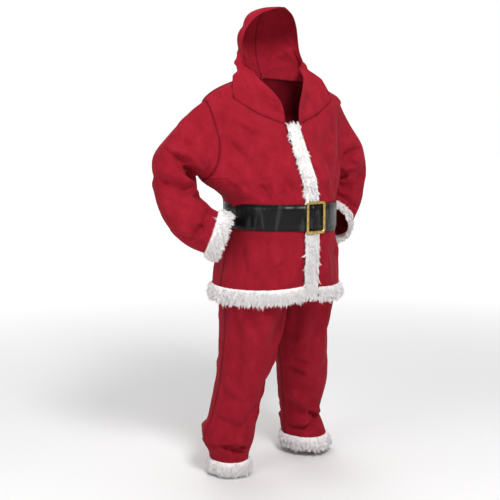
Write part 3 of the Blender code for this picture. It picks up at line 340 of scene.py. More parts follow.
red_cloth = brushed_cloth()
BODY_SPINE = ((0.0, 0.03, 0.60), (0.0, 0.013, 1.00), (0.0, 0.05, 1.28), (0.0, 0.04, 1.60))
BODY_CREASES = (
    Crease(-0.235, -0.038, 1.362, -0.055, -0.141, 1.249, 0.020, 0.0105, 0.004),
    Crease(-0.282, -0.020, 1.305, -0.142, -0.152, 1.104, 0.020, 0.0120, -0.006),
    Crease(-0.180, -0.090, 1.272, -0.061, -0.184, 1.115, 0.020, 0.0095, 0.006),
    Crease(-0.235, -0.015, 1.452, -0.063, -0.098, 1.317, 0.021, -0.0085, 0.006),
    Crease(-0.286, -0.020, 1.240, -0.205, -0.090, 1.130, 0.011, 0.0060, 0.002),
    Crease(-0.283, -0.041, 1.165, -0.207, -0.062, 1.088, 0.010, 0.0070, 0.000),
    Crease(-0.190, -0.115, 1.150, -0.150, -0.145, 1.080, 0.009, 0.0060, 0.000),
    Crease(-0.110, -0.170, 1.130, -0.095, -0.180, 1.085, 0.008, 0.0040, 0.000),
    Crease(-0.285, 0.020, 1.180, -0.250, 0.050, 1.090, 0.010, 0.0065, 0.000),
    Crease(-0.290, 0.070, 1.185, -0.255, 0.090, 1.090, 0.011, 0.0060, 0.004),
    Crease(0.088, -0.126, 1.262, 0.087, -0.181, 1.140, 0.013, -0.0045, 0.000),
    Crease(0.130, -0.107, 1.290, 0.150, -0.140, 1.130, 0.018, 0.0050, 0.004),
    Crease(0.230, -0.055, 1.240, 0.150, -0.150, 1.105, 0.018, 0.0070, 0.004),
    Crease(0.235, -0.035, 1.350, 0.110, -0.095, 1.270, 0.013, 0.0045, 0.004),
    Crease(0.255, 0.000, 1.190, 0.215, -0.050, 1.090, 0.010, 0.0060, 0.002),
    Crease(0.090, -0.180, 1.140, 0.070, -0.200, 1.085, 0.008, 0.0035, 0.000),
    Crease(-0.229, 0.104, 0.900, -0.255, 0.010, 0.760, 0.014, 0.0075, 0.008),
    Crease(-0.215, -0.050, 0.950, -0.214, -0.090, 0.800, 0.012, 0.0075, 0.006),
    Crease(-0.064, -0.200, 0.945, -0.150, -0.160, 0.770, 0.020, 0.0095, -0.004),
    Crease(-0.201, -0.069, 0.953, -0.150, -0.145, 0.930, 0.007, 0.0035, 0.002),
    Crease(-0.110, -0.180, 0.950, -0.165, -0.150, 0.850, 0.010, 0.0045, 0.000),
    Crease(0.105, -0.180, 0.955, 0.190, -0.120, 0.850, 0.011, 0.0090, 0.004),
    Crease(0.068, -0.201, 0.900, 0.113, -0.180, 0.755, 0.012, -0.0055, 0.000),
    Crease(0.160, -0.150, 0.900, 0.190, -0.110, 0.760, 0.017, 0.0060, 0.000),
    Crease(0.210, -0.060, 0.955, 0.235, -0.010, 0.800, 0.018, 0.0065, 0.004),
    Crease(0.215, 0.050, 0.955, 0.245, 0.070, 0.790, 0.013, 0.0060, 0.000),
    Crease(-0.180, 0.140, 0.955, -0.200, 0.170, 0.800, 0.014, 0.0075, 0.006),
    Crease(-0.110, 0.200, 0.955, -0.070, 0.230, 0.770, 0.015, 0.0070, 0.000),
    Crease(0.000, 0.230, 0.955, 0.030, 0.250, 0.810, 0.012, 0.0055, 0.004),
    Crease(0.100, 0.210, 0.955, 0.120, 0.220, 0.850, 0.013, 0.0065, 0.000),
    Crease(0.180, 0.140, 0.955, 0.200, 0.160, 0.780, 0.013, 0.0060, -0.004),
    Crease(-0.270, 0.120, 1.290, -0.110, 0.220, 1.130, 0.015, 0.0085, 0.008),
    Crease(-0.255, 0.120, 1.200, -0.150, 0.190, 1.095, 0.011, 0.0070, 0.004),
    Crease(-0.230, 0.150, 1.400, -0.060, 0.230, 1.230, 0.015, 0.0060, 0.010),
    Crease(0.245, 0.120, 1.300, 0.100, 0.220, 1.140, 0.014, 0.0080, -0.008),
    Crease(0.235, 0.120, 1.210, 0.150, 0.190, 1.100, 0.011, 0.0065, -0.004),
    Crease(0.210, 0.150, 1.400, 0.050, 0.230, 1.260, 0.014, 0.0050, -0.010),
    Crease(-0.100, 0.230, 1.180, 0.070, 0.230, 1.145, 0.012, 0.0050, 0.010),
    Crease(-0.140, 0.200, 1.150, -0.100, 0.220, 1.085, 0.010, 0.0055, 0.000),
    Crease(-0.030, 0.230, 1.140, -0.010, 0.230, 1.085, 0.009, 0.0040, 0.000),
    Crease(0.130, 0.200, 1.160, 0.090, 0.220, 1.085, 0.010, 0.0055, 0.000),
)
Shell = namedtuple("Shell", "node flat area levels")
SHELLS = (Shell("jacket_back", (0.74, 0.85), 0.60, 2),
          Shell("jacket_front_right", (0.40, 0.82), 0.286, 3),
          Shell("jacket_front_left", (0.40, 0.82), 0.289, 3))
BODY = [shell.node for shell in SHELLS]
HELD_BODY = ("belt_strap", "belt_tail", "front_fur", "hem_fur", "waistband", "trouser_front_right",
             "trouser_front_left", "trouser_back_right", "trouser_back_left")
SEWN_TO_BODY = ("sleeve_right", "sleeve_left", "hood_right", "hood_left")
for shell in SHELLS:
    others = [name for name in BODY if name != shell.node]
    panel = creased_cloth(shell.node, BODY_SPINE, BODY_CREASES, (*others, *SEWN_TO_BODY), HELD_BODY,
                          shell.levels)


# The sleeves. Each is one piece of the same cloth, sewn into a tube and set into its armhole. The bend
# gathers it into deep creases on the inside of the elbow, and the outside stays full.

Sleeve = namedtuple("Sleeve", "side spine creases")
RIGHT_ARM = Sleeve("right", (
    (-0.27, 0.045, 1.31), (-0.367, 0.068, 1.28), (-0.396, 0.080, 1.247), (-0.419, 0.094, 1.197),
    (-0.419, 0.087, 1.128), (-0.413, 0.062, 1.072), (-0.389, 0.035, 1.025), (-0.360, 0.014, 0.991),
    (-0.325, -0.005, 0.972), (-0.27, -0.035, 0.95)), (
    Crease(-0.475, 0.030, 1.266, -0.353, 0.022, 1.184, 0.010, 0.0150, -0.006),
    Crease(-0.432, -0.004, 1.214, -0.355, 0.040, 1.176, 0.008, 0.0160, 0.000),
    Crease(-0.294, -0.022, 1.243, -0.342, 0.045, 1.170, 0.008, 0.0190, 0.000),
    Crease(-0.315, -0.010, 1.190, -0.333, 0.030, 1.170, 0.006, 0.0060, 0.000),
    Crease(-0.504, 0.062, 1.178, -0.385, 0.014, 1.138, 0.014, 0.0125, 0.020),
    Crease(-0.398, -0.012, 1.108, -0.344, 0.034, 1.104, 0.007, 0.0070, 0.000),
    Crease(-0.336, -0.030, 1.056, -0.388, -0.063, 1.006, 0.008, 0.0085, 0.004),
    Crease(-0.386, -0.063, 1.010, -0.418, -0.040, 0.962, 0.008, 0.0120, -0.003),
    Crease(-0.458, 0.036, 0.972, -0.414, -0.040, 0.954, 0.009, 0.0070, 0.004),
    Crease(-0.400, 0.073, 1.378, -0.336, 0.010, 1.332, 0.013, 0.0050, 0.004),
    Crease(-0.453, 0.058, 1.320, -0.396, 0.002, 1.292, 0.013, 0.0060, 0.004),
    Crease(-0.370, 0.068, 1.415, -0.326, 0.020, 1.375, 0.010, 0.0040, 0.000),
    Crease(-0.490, 0.040, 1.100, -0.420, -0.040, 1.060, 0.013, 0.0050, 0.006),
    Crease(-0.440, 0.150, 1.250, -0.355, 0.105, 1.185, 0.011, 0.0130, 0.006),
    Crease(-0.410, 0.165, 1.205, -0.350, 0.110, 1.170, 0.009, 0.0090, 0.000),
    Crease(-0.490, 0.120, 1.175, -0.385, 0.140, 1.130, 0.013, 0.0080, 0.014),
    Crease(-0.430, 0.125, 1.080, -0.355, 0.080, 1.030, 0.011, 0.0075, 0.004),
    Crease(-0.440, 0.090, 1.010, -0.370, 0.060, 0.975, 0.010, 0.0070, 0.004),
    Crease(-0.400, 0.160, 1.340, -0.340, 0.120, 1.280, 0.013, 0.0060, 0.006),
    Crease(-0.330, 0.120, 1.400, -0.350, 0.130, 1.340, 0.011, 0.0045, 0.000)))
LEFT_ARM = Sleeve("left", (
    (0.25, 0.045, 1.31), (0.339, 0.068, 1.28), (0.368, 0.083, 1.247), (0.392, 0.098, 1.195),
    (0.390, 0.098, 1.130), (0.376, 0.089, 1.075), (0.352, 0.086, 1.029), (0.331, 0.074, 1.000),
    (0.308, 0.057, 0.985), (0.26, 0.025, 0.965)), (
    Crease(0.410, 0.005, 1.268, 0.282, -0.010, 1.204, 0.010, 0.0140, 0.008),
    Crease(0.372, -0.009, 1.208, 0.295, -0.012, 1.214, 0.008, 0.0100, 0.000),
    Crease(0.350, 0.010, 1.160, 0.315, 0.030, 1.150, 0.007, 0.0080, 0.000),
    Crease(0.374, 0.010, 1.105, 0.316, 0.037, 1.122, 0.009, 0.0070, 0.000),
    Crease(0.312, 0.034, 1.082, 0.385, 0.060, 1.030, 0.010, 0.0080, 0.000),
    Crease(0.376, 0.021, 1.327, 0.286, -0.008, 1.306, 0.011, 0.0040, 0.000),
    Crease(0.440, 0.050, 1.190, 0.375, 0.010, 1.150, 0.013, 0.0070, -0.012),
    Crease(0.330, 0.020, 1.050, 0.370, 0.030, 0.990, 0.009, 0.0070, 0.000),
    Crease(0.400, 0.155, 1.250, 0.308, 0.110, 1.185, 0.011, 0.0130, -0.006),
    Crease(0.380, 0.170, 1.200, 0.320, 0.120, 1.165, 0.009, 0.0090, 0.000),
    Crease(0.455, 0.130, 1.175, 0.350, 0.150, 1.120, 0.013, 0.0080, -0.014),
    Crease(0.410, 0.150, 1.080, 0.335, 0.130, 1.040, 0.011, 0.0070, 0.000),
    Crease(0.380, 0.140, 1.010, 0.325, 0.110, 0.990, 0.009, 0.0060, 0.000),
    Crease(0.380, 0.150, 1.340, 0.310, 0.120, 1.285, 0.013, 0.0060, 0.000)))
for arm in (RIGHT_ARM, LEFT_ARM):
    sleeve = creased_cloth(f"sleeve_{arm.side}", arm.spine, arm.creases, BODY,
                           (f"cuff_fur_{arm.side}", "belt_strap"))


# The hood, in two halves sewn over the crown and into the neckline. It has no trim on its rim, and is
# worn up with its base lying wide over the shoulders.

HOOD_SPINE = ((0.0, 0.02, 1.40), (0.0, 0.05, 1.50), (0.0, 0.07, 1.62), (0.0, 0.07, 1.72))
HOOD_CREASES = (
    Crease(-0.140, 0.000, 1.607, -0.140, 0.080, 1.590, 0.009, -0.0080, 0.000),
    Crease(-0.130, 0.020, 1.565, -0.140, 0.110, 1.540, 0.012, 0.0080, 0.006),
    Crease(-0.185, 0.000, 1.530, -0.105, -0.060, 1.455, 0.013, 0.0070, 0.006),
    Crease(-0.120, 0.090, 1.650, -0.040, 0.170, 1.600, 0.014, 0.0080, 0.008),
    Crease(-0.115, 0.110, 1.590, -0.010, 0.175, 1.560, 0.012, 0.0090, 0.008),
    Crease(-0.150, -0.030, 1.475, -0.060, -0.085, 1.400, 0.011, 0.0060, 0.004),
    Crease(-0.080, 0.060, 1.740, -0.030, 0.150, 1.710, 0.014, 0.0050, 0.006),
    Crease(0.130, 0.010, 1.585, 0.130, 0.090, 1.560, 0.012, 0.0080, -0.006),
    Crease(0.185, 0.000, 1.530, 0.105, -0.060, 1.455, 0.013, 0.0070, -0.006),
    Crease(0.120, 0.090, 1.660, 0.050, 0.170, 1.615, 0.014, 0.0080, -0.008),
    Crease(0.115, 0.120, 1.600, 0.020, 0.175, 1.565, 0.012, 0.0070, -0.008),
    Crease(0.150, -0.030, 1.480, 0.060, -0.085, 1.410, 0.011, 0.0060, -0.004),
)
for side, other in (("right", "left"), ("left", "right")):
    hood = creased_cloth(f"hood_{side}", HOOD_SPINE, HOOD_CREASES, (*BODY, f"hood_{other}"),
                         ("front_fur",))


# The trousers, with a front and a back to each leg and a gathered band at the waist. They are the same
# cloth, cut wide, and break into creases above the bands of fur.

LEGS = {
    "right": ((-0.200, 0.070, 0.00), (-0.203, 0.070, 0.16), (-0.160, 0.060, 0.337),
              (-0.142, 0.045, 0.436), (-0.123, 0.032, 0.588), (-0.110, 0.030, 0.72),
              (-0.06, 0.020, 0.90), (-0.05, 0.013, 1.02)),
    "left": ((0.213, 0.115, 0.02), (0.196, 0.124, 0.14), (0.186, 0.112, 0.24), (0.180, 0.096, 0.322),
             (0.160, 0.075, 0.436), (0.142, 0.060, 0.519), (0.122, 0.042, 0.62), (0.110, 0.030, 0.72),
             (0.06, 0.020, 0.90), (0.05, 0.013, 1.02)),
}
LEG_CREASES = (
    Crease(-0.227, -0.040, 0.670, -0.221, -0.035, 0.420, 0.014, 0.0060, 0.000),
    Crease(-0.232, -0.015, 0.690, -0.233, 0.000, 0.560, 0.010, -0.0035, 0.000),
    Crease(-0.130, -0.132, 0.675, -0.165, -0.110, 0.540, 0.014, -0.0050, 0.000),
    Crease(-0.186, -0.112, 0.690, -0.200, -0.090, 0.580, 0.010, 0.0045, 0.000),
    Crease(-0.255, 0.045, 0.395, -0.215, -0.040, 0.330, 0.011, -0.0045, 0.000),
    Crease(-0.262, 0.040, 0.365, -0.195, -0.045, 0.300, 0.012, 0.0050, 0.006),
    Crease(-0.120, -0.010, 0.285, -0.195, -0.042, 0.220, 0.012, 0.0080, 0.000),
    Crease(-0.285, 0.020, 0.245, -0.200, -0.040, 0.205, 0.013, 0.0060, 0.008),
    Crease(-0.283, 0.000, 0.137, -0.172, -0.030, 0.121, 0.008, 0.0130, 0.000),
    Crease(-0.244, -0.021, 0.119, -0.182, -0.025, 0.097, 0.006, 0.0090, 0.000),
    Crease(-0.325, 0.060, 0.135, -0.288, 0.018, 0.131, 0.007, 0.0080, 0.000),
    Crease(-0.050, -0.120, 0.690, -0.120, -0.100, 0.500, 0.014, 0.0070, 0.006),
    Crease(-0.060, 0.020, 0.560, -0.120, -0.050, 0.450, 0.013, 0.0060, 0.008),
    Crease(-0.090, 0.020, 0.380, -0.130, -0.040, 0.330, 0.012, 0.0055, 0.006),
    Crease(-0.290, 0.130, 0.150, -0.180, 0.180, 0.140, 0.010, 0.0110, 0.006),
    Crease(-0.290, 0.120, 0.205, -0.170, 0.180, 0.215, 0.011, 0.0075, 0.006),
    Crease(-0.150, 0.180, 0.115, -0.220, 0.180, 0.100, 0.008, 0.0070, 0.000),
    Crease(-0.220, 0.150, 0.480, -0.100, 0.160, 0.390, 0.014, 0.0080, 0.010),
    Crease(-0.200, 0.170, 0.660, -0.100, 0.190, 0.560, 0.014, 0.0070, 0.010),
    Crease(0.064, 0.042, 0.400, 0.118, -0.015, 0.362, 0.010, 0.0075, 0.004),
    Crease(0.068, 0.010, 0.440, 0.110, -0.030, 0.408, 0.010, 0.0060, 0.004),
    Crease(0.090, 0.062, 0.290, 0.165, 0.028, 0.202, 0.012, -0.0070, 0.000),
    Crease(0.088, 0.078, 0.258, 0.150, 0.035, 0.185, 0.010, 0.0055, 0.000),
    Crease(0.172, 0.028, 0.186, 0.236, 0.048, 0.156, 0.007, 0.0140, 0.000),
    Crease(0.108, 0.110, 0.122, 0.170, 0.028, 0.122, 0.010, 0.0090, 0.006),
    Crease(0.150, 0.030, 0.121, 0.222, 0.030, 0.156, 0.009, 0.0100, 0.004),
    Crease(0.112, 0.110, 0.079, 0.148, 0.034, 0.083, 0.007, 0.0060, 0.000),
    Crease(0.156, -0.078, 0.560, 0.182, -0.044, 0.410, 0.014, -0.0050, 0.000),
    Crease(0.033, -0.070, 0.660, 0.062, -0.020, 0.505, 0.015, 0.0080, 0.006),
    Crease(0.110, -0.130, 0.680, 0.140, -0.090, 0.520, 0.013, 0.0055, 0.004),
    Crease(0.215, -0.040, 0.640, 0.235, 0.020, 0.430, 0.013, 0.0060, 0.006),
    Crease(0.120, 0.190, 0.160, 0.240, 0.190, 0.175, 0.010, 0.0110, 0.006),
    Crease(0.130, 0.200, 0.215, 0.250, 0.180, 0.205, 0.011, 0.0070, 0.006),
    Crease(0.110, 0.180, 0.460, 0.210, 0.170, 0.370, 0.014, 0.0080, 0.010),
    Crease(0.100, 0.190, 0.650, 0.190, 0.170, 0.560, 0.014, 0.0070, 0.010),
)
PANELS = [f"trouser_{part}_{side}" for side in LEGS for part in ("front", "back")]
for side, spine in LEGS.items():
    for part, area in (("front", 0.356), ("back", 0.342)):
        panel = f"trouser_{part}_{side}"
        leg = creased_cloth(panel, spine, LEG_CREASES, [name for name in PANELS if name != panel],
                            (f"leg_fur_{side}", "waistband", "belt_strap", *BODY))
waistband = creased_cloth("waistband", BODY_SPINE, (), (), PANELS, 1)


# The white fur on the jacket's hem and front edge, the sleeves' cuffs and the legs' ends. It is a band
# of plush knit with a long pile, whose locks lean about and hang down a little.

# The fur's colours are tinted pink with painted bounce light from the red cloth, and the second is a grey
# of painted shade.
FUR_WHITE_WITH_PAINTED_BOUNCE = (0.99, 0.965, 0.965)
FUR_SHADE = (0.87, 0.82, 0.825)
PLUSH_SUNK = 0.0022       # how far the knit lies below the pile's smooth top
PLUSH_LEVELS = 2
LEFT_LOWERED = 0.6        # the hem's top edge lies this share lower still on its left
LEFT_FROM = 0.10          # and does so in full from this far off the middle
FIRST_DRAW = 40           # the first band's seed for its random draws
FACING_OUT = 0.12         # only places that face out at least this much carry pile
PRESSED_BELOW = 0.002     # the belt presses the pile flat from just below its strap to just above it
PRESSED_ABOVE = 0.009
PRESSED_HALF_WIDE = 0.15
FANNED = 0.016            # the locks this near to the front strip's top end stand up
FANNED_LEAN = (0.0, 0.0, 0.55)
LOCK_WIDE = 0.0017
LOCK_WIDTHS = (0.6, 1.25)
LOCK_LENGTHS = (0.45, 1.05)
LOCK_STRAY = 0.26
LOCK_SAG = 0.0025
LOCK_ARCH = 0.10
LOCK_MIDDLE = 0.38        # half the width of a lock's middle, in widths of its root
ROOT_DEEP = 0.0015
LOCKS_TO_A_TUFT = 14
TUFT_LENGTHS = (-0.25, 0.50)
TUFT_STRAY = 0.14
TUFT_PULL = (0.30, 0.90)
OFF_FLOOR = 0.001
Band = namedtuple("Band", "node base locks long lift nap_x nap_y nap_z lowered flat")
FUR_BANDS = (
    Band("hem_fur", "jacket_back_cloth", 32000, 0.0185, 0.50, 0.0, 0.0, -0.72, 0.009, (1.62, 0.051)),
    Band("front_fur", "jacket_front_left_cloth", 15000, 0.018, 0.42, -0.42, 0.05, -0.62, 0.0,
         (0.061, 0.70)),
    Band("cuff_fur_right", "sleeve_right_cloth", 9000, 0.017, 0.50, 0.45, -0.25, -0.50, 0.0,
         (0.545, 0.0535)),
    Band("cuff_fur_left", "sleeve_left_cloth", 9000, 0.017, 0.50, -0.45, -0.30, -0.50, 0.0,
         (0.535, 0.0535)),
    Band("leg_fur_right", "trouser_front_right_cloth", 9500, 0.019, 0.36, 0.0, 0.0, -0.85, 0.0,
         (0.545, 0.0485)),
    Band("leg_fur_left", "trouser_front_left_cloth", 11500, 0.019, 0.36, 0.0, 0.0, -0.85, 0.0,
         (0.65, 0.0485)),
)


def fur_finish():
    """White pile, tinted pink with painted bounce light from the red cloth, and a little greyer in random
    patches of painted shade.
    """
    material, nodes, links = node_tree("white_long_pile")
    shader = nodes["Principled BSDF"]
    shader.inputs["Roughness"].default_value = 0.75
    shader.inputs["Specular IOR Level"].default_value = 0.25
    shader.inputs["Sheen Weight"].default_value = 0.25
    shader.inputs["Sheen Roughness"].default_value = 0.5
    # Random patches of painted shade.
    painted_shade_patches = noise_at(nodes, links, 120.0, 3.0)
    colour = ramp_between(nodes, links, painted_shade_patches, 0.30, 0.62, (FUR_SHADE, FUR_WHITE_WITH_PAINTED_BOUNCE, FUR_WHITE_WITH_PAINTED_BOUNCE))
    links.new(colour, shader.inputs["Base Color"])
    pile = bump_from(nodes, links, noise_at(nodes, links, 420.0, 3.0, (1.0, 1.0, 0.5)), 0.7, 0.0025)
    links.new(pile, shader.inputs["Normal"])
    return material


def showing_roots(mesh, count, draw):
    """Places spread evenly over the side of a band that faces out, with their normals.

    No lock stands up where the belt lies over the band.
    """
    mesh.calc_loop_triangles()
    corners = np.zeros(len(mesh.loop_triangles) * 3, dtype=np.int64)
    mesh.loop_triangles.foreach_get("vertices", corners)
    points = mesh_points(mesh)
    centre = points.mean(axis=0)
    points = points[corners.reshape(-1, 3)]
    cross = np.cross(points[:, 1] - points[:, 0], points[:, 2] - points[:, 0])
    size = np.linalg.norm(cross, axis=1)
    out = points.mean(axis=1) - centre
    facing = (cross * out).sum(axis=1) > FACING_OUT * size * np.linalg.norm(out, axis=1)
    size = size * facing
    chosen = draw.choice(len(points), count, p=size / size.sum())
    u, v = draw.random(count), draw.random(count)
    over = u + v > 1
    u[over], v[over] = 1 - u[over], 1 - v[over]
    a, b, c = points[chosen, 0], points[chosen, 1], points[chosen, 2]
    roots = a + (b - a) * u[:, None] + (c - a) * v[:, None]
    normals = cross[chosen] / np.linalg.norm(cross[chosen], axis=1)[:, None]
    belt_low, belt_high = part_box("belt_strap")
    pressed = (roots[:, 2] > belt_low.z - PRESSED_BELOW) & (roots[:, 2] < belt_high.z + PRESSED_ABOVE)
    pressed &= np.abs(roots[:, 0]) < PRESSED_HALF_WIDE
    return roots[~pressed], normals[~pressed]


def unit(vectors):
    return vectors / np.maximum(np.linalg.norm(vectors, axis=1), 1e-9)[:, None]


def fur_locks(name, roots, normals, band, draw):
    """Flat tapered locks of pile, which lean with the nap and draw together in tufts."""
    count = len(roots)
    lean = np.tile([band.nap_x, band.nap_y, band.nap_z], (count, 1))
    if band.node == "front_fur":
        lean[roots[:, 2] > roots[:, 2].max() - FANNED] = FANNED_LEAN
    way = unit(normals * band.lift + lean + draw.normal(0.0, LOCK_STRAY, (count, 3)))
    length = band.long * draw.uniform(*LOCK_LENGTHS, count)[:, None]
    tips = roots + way * length - (0.0, 0.0, LOCK_SAG)
    leaders = draw.choice(count, count // LOCKS_TO_A_TUFT, replace=False)
    tips[leaders] += way[leaders] * band.long * draw.uniform(*TUFT_LENGTHS, len(leaders))[:, None]
    tips[leaders] += draw.normal(0.0, band.long * TUFT_STRAY, (len(leaders), 3))
    finder = KDTree(len(leaders))
    for number, leader in enumerate(leaders.tolist()):
        finder.insert(Vector(roots[leader]), number)
    finder.balance()
    tuft = leaders[[finder.find(Vector(root))[1] for root in roots.tolist()]]
    tips += (tips[tuft] - tips) * draw.uniform(*TUFT_PULL, count)[:, None]
    tips[:, 2] = np.maximum(tips[:, 2], FLOOR + OFF_FLOOR)
    way = unit(tips - roots)
    across = unit(np.cross(way, draw.normal(0.0, 1.0, (count, 3))))
    wide = LOCK_WIDE * draw.uniform(*LOCK_WIDTHS, count)[:, None]
    base = roots - normals * ROOT_DEEP
    middle = (base + tips) / 2 + normals * length * LOCK_ARCH
    points = np.stack([base - across * wide / 2, base + across * wide / 2,
                       middle + across * wide * LOCK_MIDDLE, middle - across * wide * LOCK_MIDDLE, tips],
                      axis=1)
    corners = points.shape[1]
    faces = [side for start in range(0, count * corners, corners)
             for side in ((start, start + 1, start + 2, start + 3), (start + 3, start + 2, start + 4))]
    pile = bpy.data.meshes.new(name)
    pile.from_pydata(points.reshape(-1, 3).tolist(), [], faces)
    pile.shade_smooth()
    locks = bpy.data.objects.new(name, pile)
    bpy.context.scene.collection.objects.link(locks)
    return locks


white_fur = fur_finish()
for number, band in enumerate(FUR_BANDS):
    draw = np.random.default_rng(FIRST_DRAW + number)
    plush = finished_mesh(band.node + "_plush", welded_form(band.node), PLUSH_LEVELS)
    normals = np.zeros(len(plush.data.vertices) * 3)
    plush.data.vertices.foreach_get("normal", normals)
    points = mesh_points(plush.data) - normals.reshape(-1, 3) * PLUSH_SUNK
    height = points[:, 2] - points[:, 2].min()
    lowered = band.lowered + band.lowered * LEFT_LOWERED * np.clip(points[:, 0] / LEFT_FROM, 0.0, 1.0)
    points[:, 2] -= lowered * (height / height.max()) ** 2
    set_points(plush.data, points)
    locks = fur_locks(band.node + "_pile", *showing_roots(plush.data, band.locks, draw), band, draw)
    for piece in (plush, locks):
        piece.data.materials.clear()
        piece.data.materials.append(white_fur)
        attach(piece, "root")
    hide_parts(band.node)


# The belt, a wide strap of glossy black vinyl on a cloth backing, with its loose end tucked under beside
# the buckle. It is stiff but thin, ripples softly round the waist, and has pale bands of painted
# highlight.

VINYL_BLACK = (0.0060, 0.0060, 0.0070)
# the paler colour is painted highlight
VINYL_PAINTED_HIGHLIGHT = (0.050, 0.050, 0.047)
STRAP_LEVELS = 2


def vinyl_finish():
    material, nodes, links = node_tree("glossy_black_vinyl")
    shader = nodes["Principled BSDF"]
    shader.inputs["Roughness"].default_value = 0.30
    shader.inputs["Specular IOR Level"].default_value = 0.18
    # Pale bands of painted highlight in the base colour, for soft reflections in the ripples.
    highlight_bands = noise_at(nodes, links, 15.0, 3.0, (1.0, 1.0, 0.30), 1.2)
    colour = ramp_between(nodes, links, highlight_bands, 0.40, 0.74, (VINYL_BLACK, VINYL_BLACK, VINYL_PAINTED_HIGHLIGHT))
    links.new(colour, shader.inputs["Base Color"])
    ripple = noise_at(nodes, links, 11.0, 2.5, (1.0, 1.0, 0.40), 0.8)
    ripple = bump_from(nodes, links, ripple, 0.9, 0.012)
    grain = bump_from(nodes, links, noise_at(nodes, links, 1500.0, 2.0), 0.10, 0.0003, ripple)
    links.new(grain, shader.inputs["Normal"])
    return material


black_vinyl = vinyl_finish()
for node_name, flat in (("belt_strap", (1.42, 0.097)), ("belt_tail", (0.24, 0.094))):
    strap = finished_mesh(node_name + "_vinyl", welded_form(node_name), STRAP_LEVELS)
    strap.data.materials.clear()
    strap.data.materials.append(black_vinyl)
    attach(strap, "root")
    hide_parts(node_name)


# The buckle, a pressed rectangular frame with a bar down its middle, plated to look like brass. A row
# of small beads runs round its face.

GOLD = (0.66, 0.47, 0.15)
GOLD_WORN = (0.44, 0.30, 0.09)
BUCKLE_WIDE = 0.086
BUCKLE_TALL = 0.120
BEADS_IN = 0.005          # how far the row of beads lies inside the frame's edge
BEAD_RADIUS = 0.0017
BEAD_STEP = 0.0046
BEAD_SUNK = 0.0004


def gold_finish():
    material, nodes, links = node_tree("plated_brass")
    shader = nodes["Principled BSDF"]
    shader.inputs["Metallic"].default_value = 1.0
    tone = noise_at(nodes, links, 90.0, 4.0)
    colour = ramp_between(nodes, links, tone, 0.30, 0.65, (GOLD_WORN, GOLD))
    links.new(colour, shader.inputs["Base Color"])
    rough = nodes.new("ShaderNodeMapRange")
    rough.inputs["To Min"].default_value = 0.18
    rough.inputs["To Max"].default_value = 0.38
    links.new(noise_at(nodes, links, 240.0, 3.0), rough.inputs["Value"])
    links.new(rough.outputs["Result"], shader.inputs["Roughness"])
    links.new(bump_from(nodes, links, noise_at(nodes, links, 500.0, 2.0), 0.15, 0.0003),
              shader.inputs["Normal"])
    return material


gold_metal = gold_finish()
buckle_form = bmesh.new()
buckle_form.from_mesh(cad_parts["buckle_frame"].data)
bmesh.ops.remove_doubles(buckle_form, verts=buckle_form.verts, dist=1e-5)
buckle_mesh = bpy.data.meshes.new("buckle_plated")
buckle_form.to_mesh(buckle_mesh)
buckle_form.free()
buckle_low, buckle_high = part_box("buckle_frame")
face_y = buckle_low.y
middle_z = (buckle_low.z + buckle_high.z) / 2
half_wide, half_tall = BUCKLE_WIDE / 2 - BEADS_IN, BUCKLE_TALL / 2 - BEADS_IN
beads = bmesh.new()
beads.from_mesh(buckle_mesh)
for start, end in (((-half_wide, -half_tall), (half_wide, -half_tall)),
                   ((half_wide, -half_tall), (half_wide, half_tall)),
                   ((half_wide, half_tall), (-half_wide, half_tall)),
                   ((-half_wide, half_tall), (-half_wide, -half_tall))):
    long = math.dist(start, end)
    count = round(long / BEAD_STEP)
    for step in range(count):
        share = step / count
        x = start[0] + (end[0] - start[0]) * share
        z = start[1] + (end[1] - start[1]) * share
        bmesh.ops.create_icosphere(beads, subdivisions=2, radius=BEAD_RADIUS,
                                   matrix=Matrix.Translation((x, face_y + BEAD_SUNK, middle_z + z)))
beads.to_mesh(buckle_mesh)
beads.free()
buckle_mesh.attributes.remove(buckle_mesh.attributes["custom_normal"])
buckle_mesh.materials.clear()
buckle_mesh.materials.append(gold_metal)
buckle = bpy.data.objects.new("buckle_plated", buckle_mesh)
bpy.context.scene.collection.objects.link(buckle)
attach(buckle, "root")
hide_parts("buckle_frame")


# The studio: a plain pale floor, a soft white room that is brightest behind the suit, and four large
# soft lights.

FLOOR_HALF = 30.0
FLOOR_PALE = (0.93, 0.93, 0.93, 1.0)
WHITE = (1.0, 1.0, 1.0, 1.0)
FAR_FLOOR_GLOW = 0.75     # the far floor is as bright as the backdrop, so it has no edge
GLOW_FROM = 1.6           # and gains its glow between these distances
GLOW_TO = 6.0
ROOM_DIM = 0.27
BACKDROP_BRIGHT = 1.0
BACKDROP = (0.588, 0.809, 0.0)
BACKDROP_FROM = 0.45      # the room brightens between these, as a direction nears the backdrop's
BACKDROP_TO = 0.88
LIT_POINT = Vector((0, 0, -0.5))
floor_mesh = bpy.data.meshes.new("studio_floor")
ground = bmesh.new()
bmesh.ops.create_grid(ground, x_segments=1, y_segments=1, size=FLOOR_HALF,
                      matrix=Matrix.Translation((0, 0, FLOOR)))
ground.to_mesh(floor_mesh)
ground.free()
floor = bpy.data.objects.new("studio_floor", floor_mesh)
bpy.context.scene.collection.objects.link(floor)
pale, pale_nodes, pale_links = node_tree("pale_floor")
pale_shader = pale_nodes["Principled BSDF"]
pale_shader.inputs["Base Color"].default_value = FLOOR_PALE
pale_shader.inputs["Roughness"].default_value = 0.9
pale_shader.inputs["Emission Color"].default_value = WHITE
spot = pale_nodes.new("ShaderNodeTexCoord")
away_from_suit = pale_nodes.new("ShaderNodeVectorMath")
away_from_suit.operation = "LENGTH"
glow = pale_nodes.new("ShaderNodeMapRange")
glow.interpolation_type = "SMOOTHSTEP"
glow.inputs["From Min"].default_value = GLOW_FROM
glow.inputs["From Max"].default_value = GLOW_TO
glow.inputs["To Min"].default_value = 0.0
glow.inputs["To Max"].default_value = FAR_FLOOR_GLOW
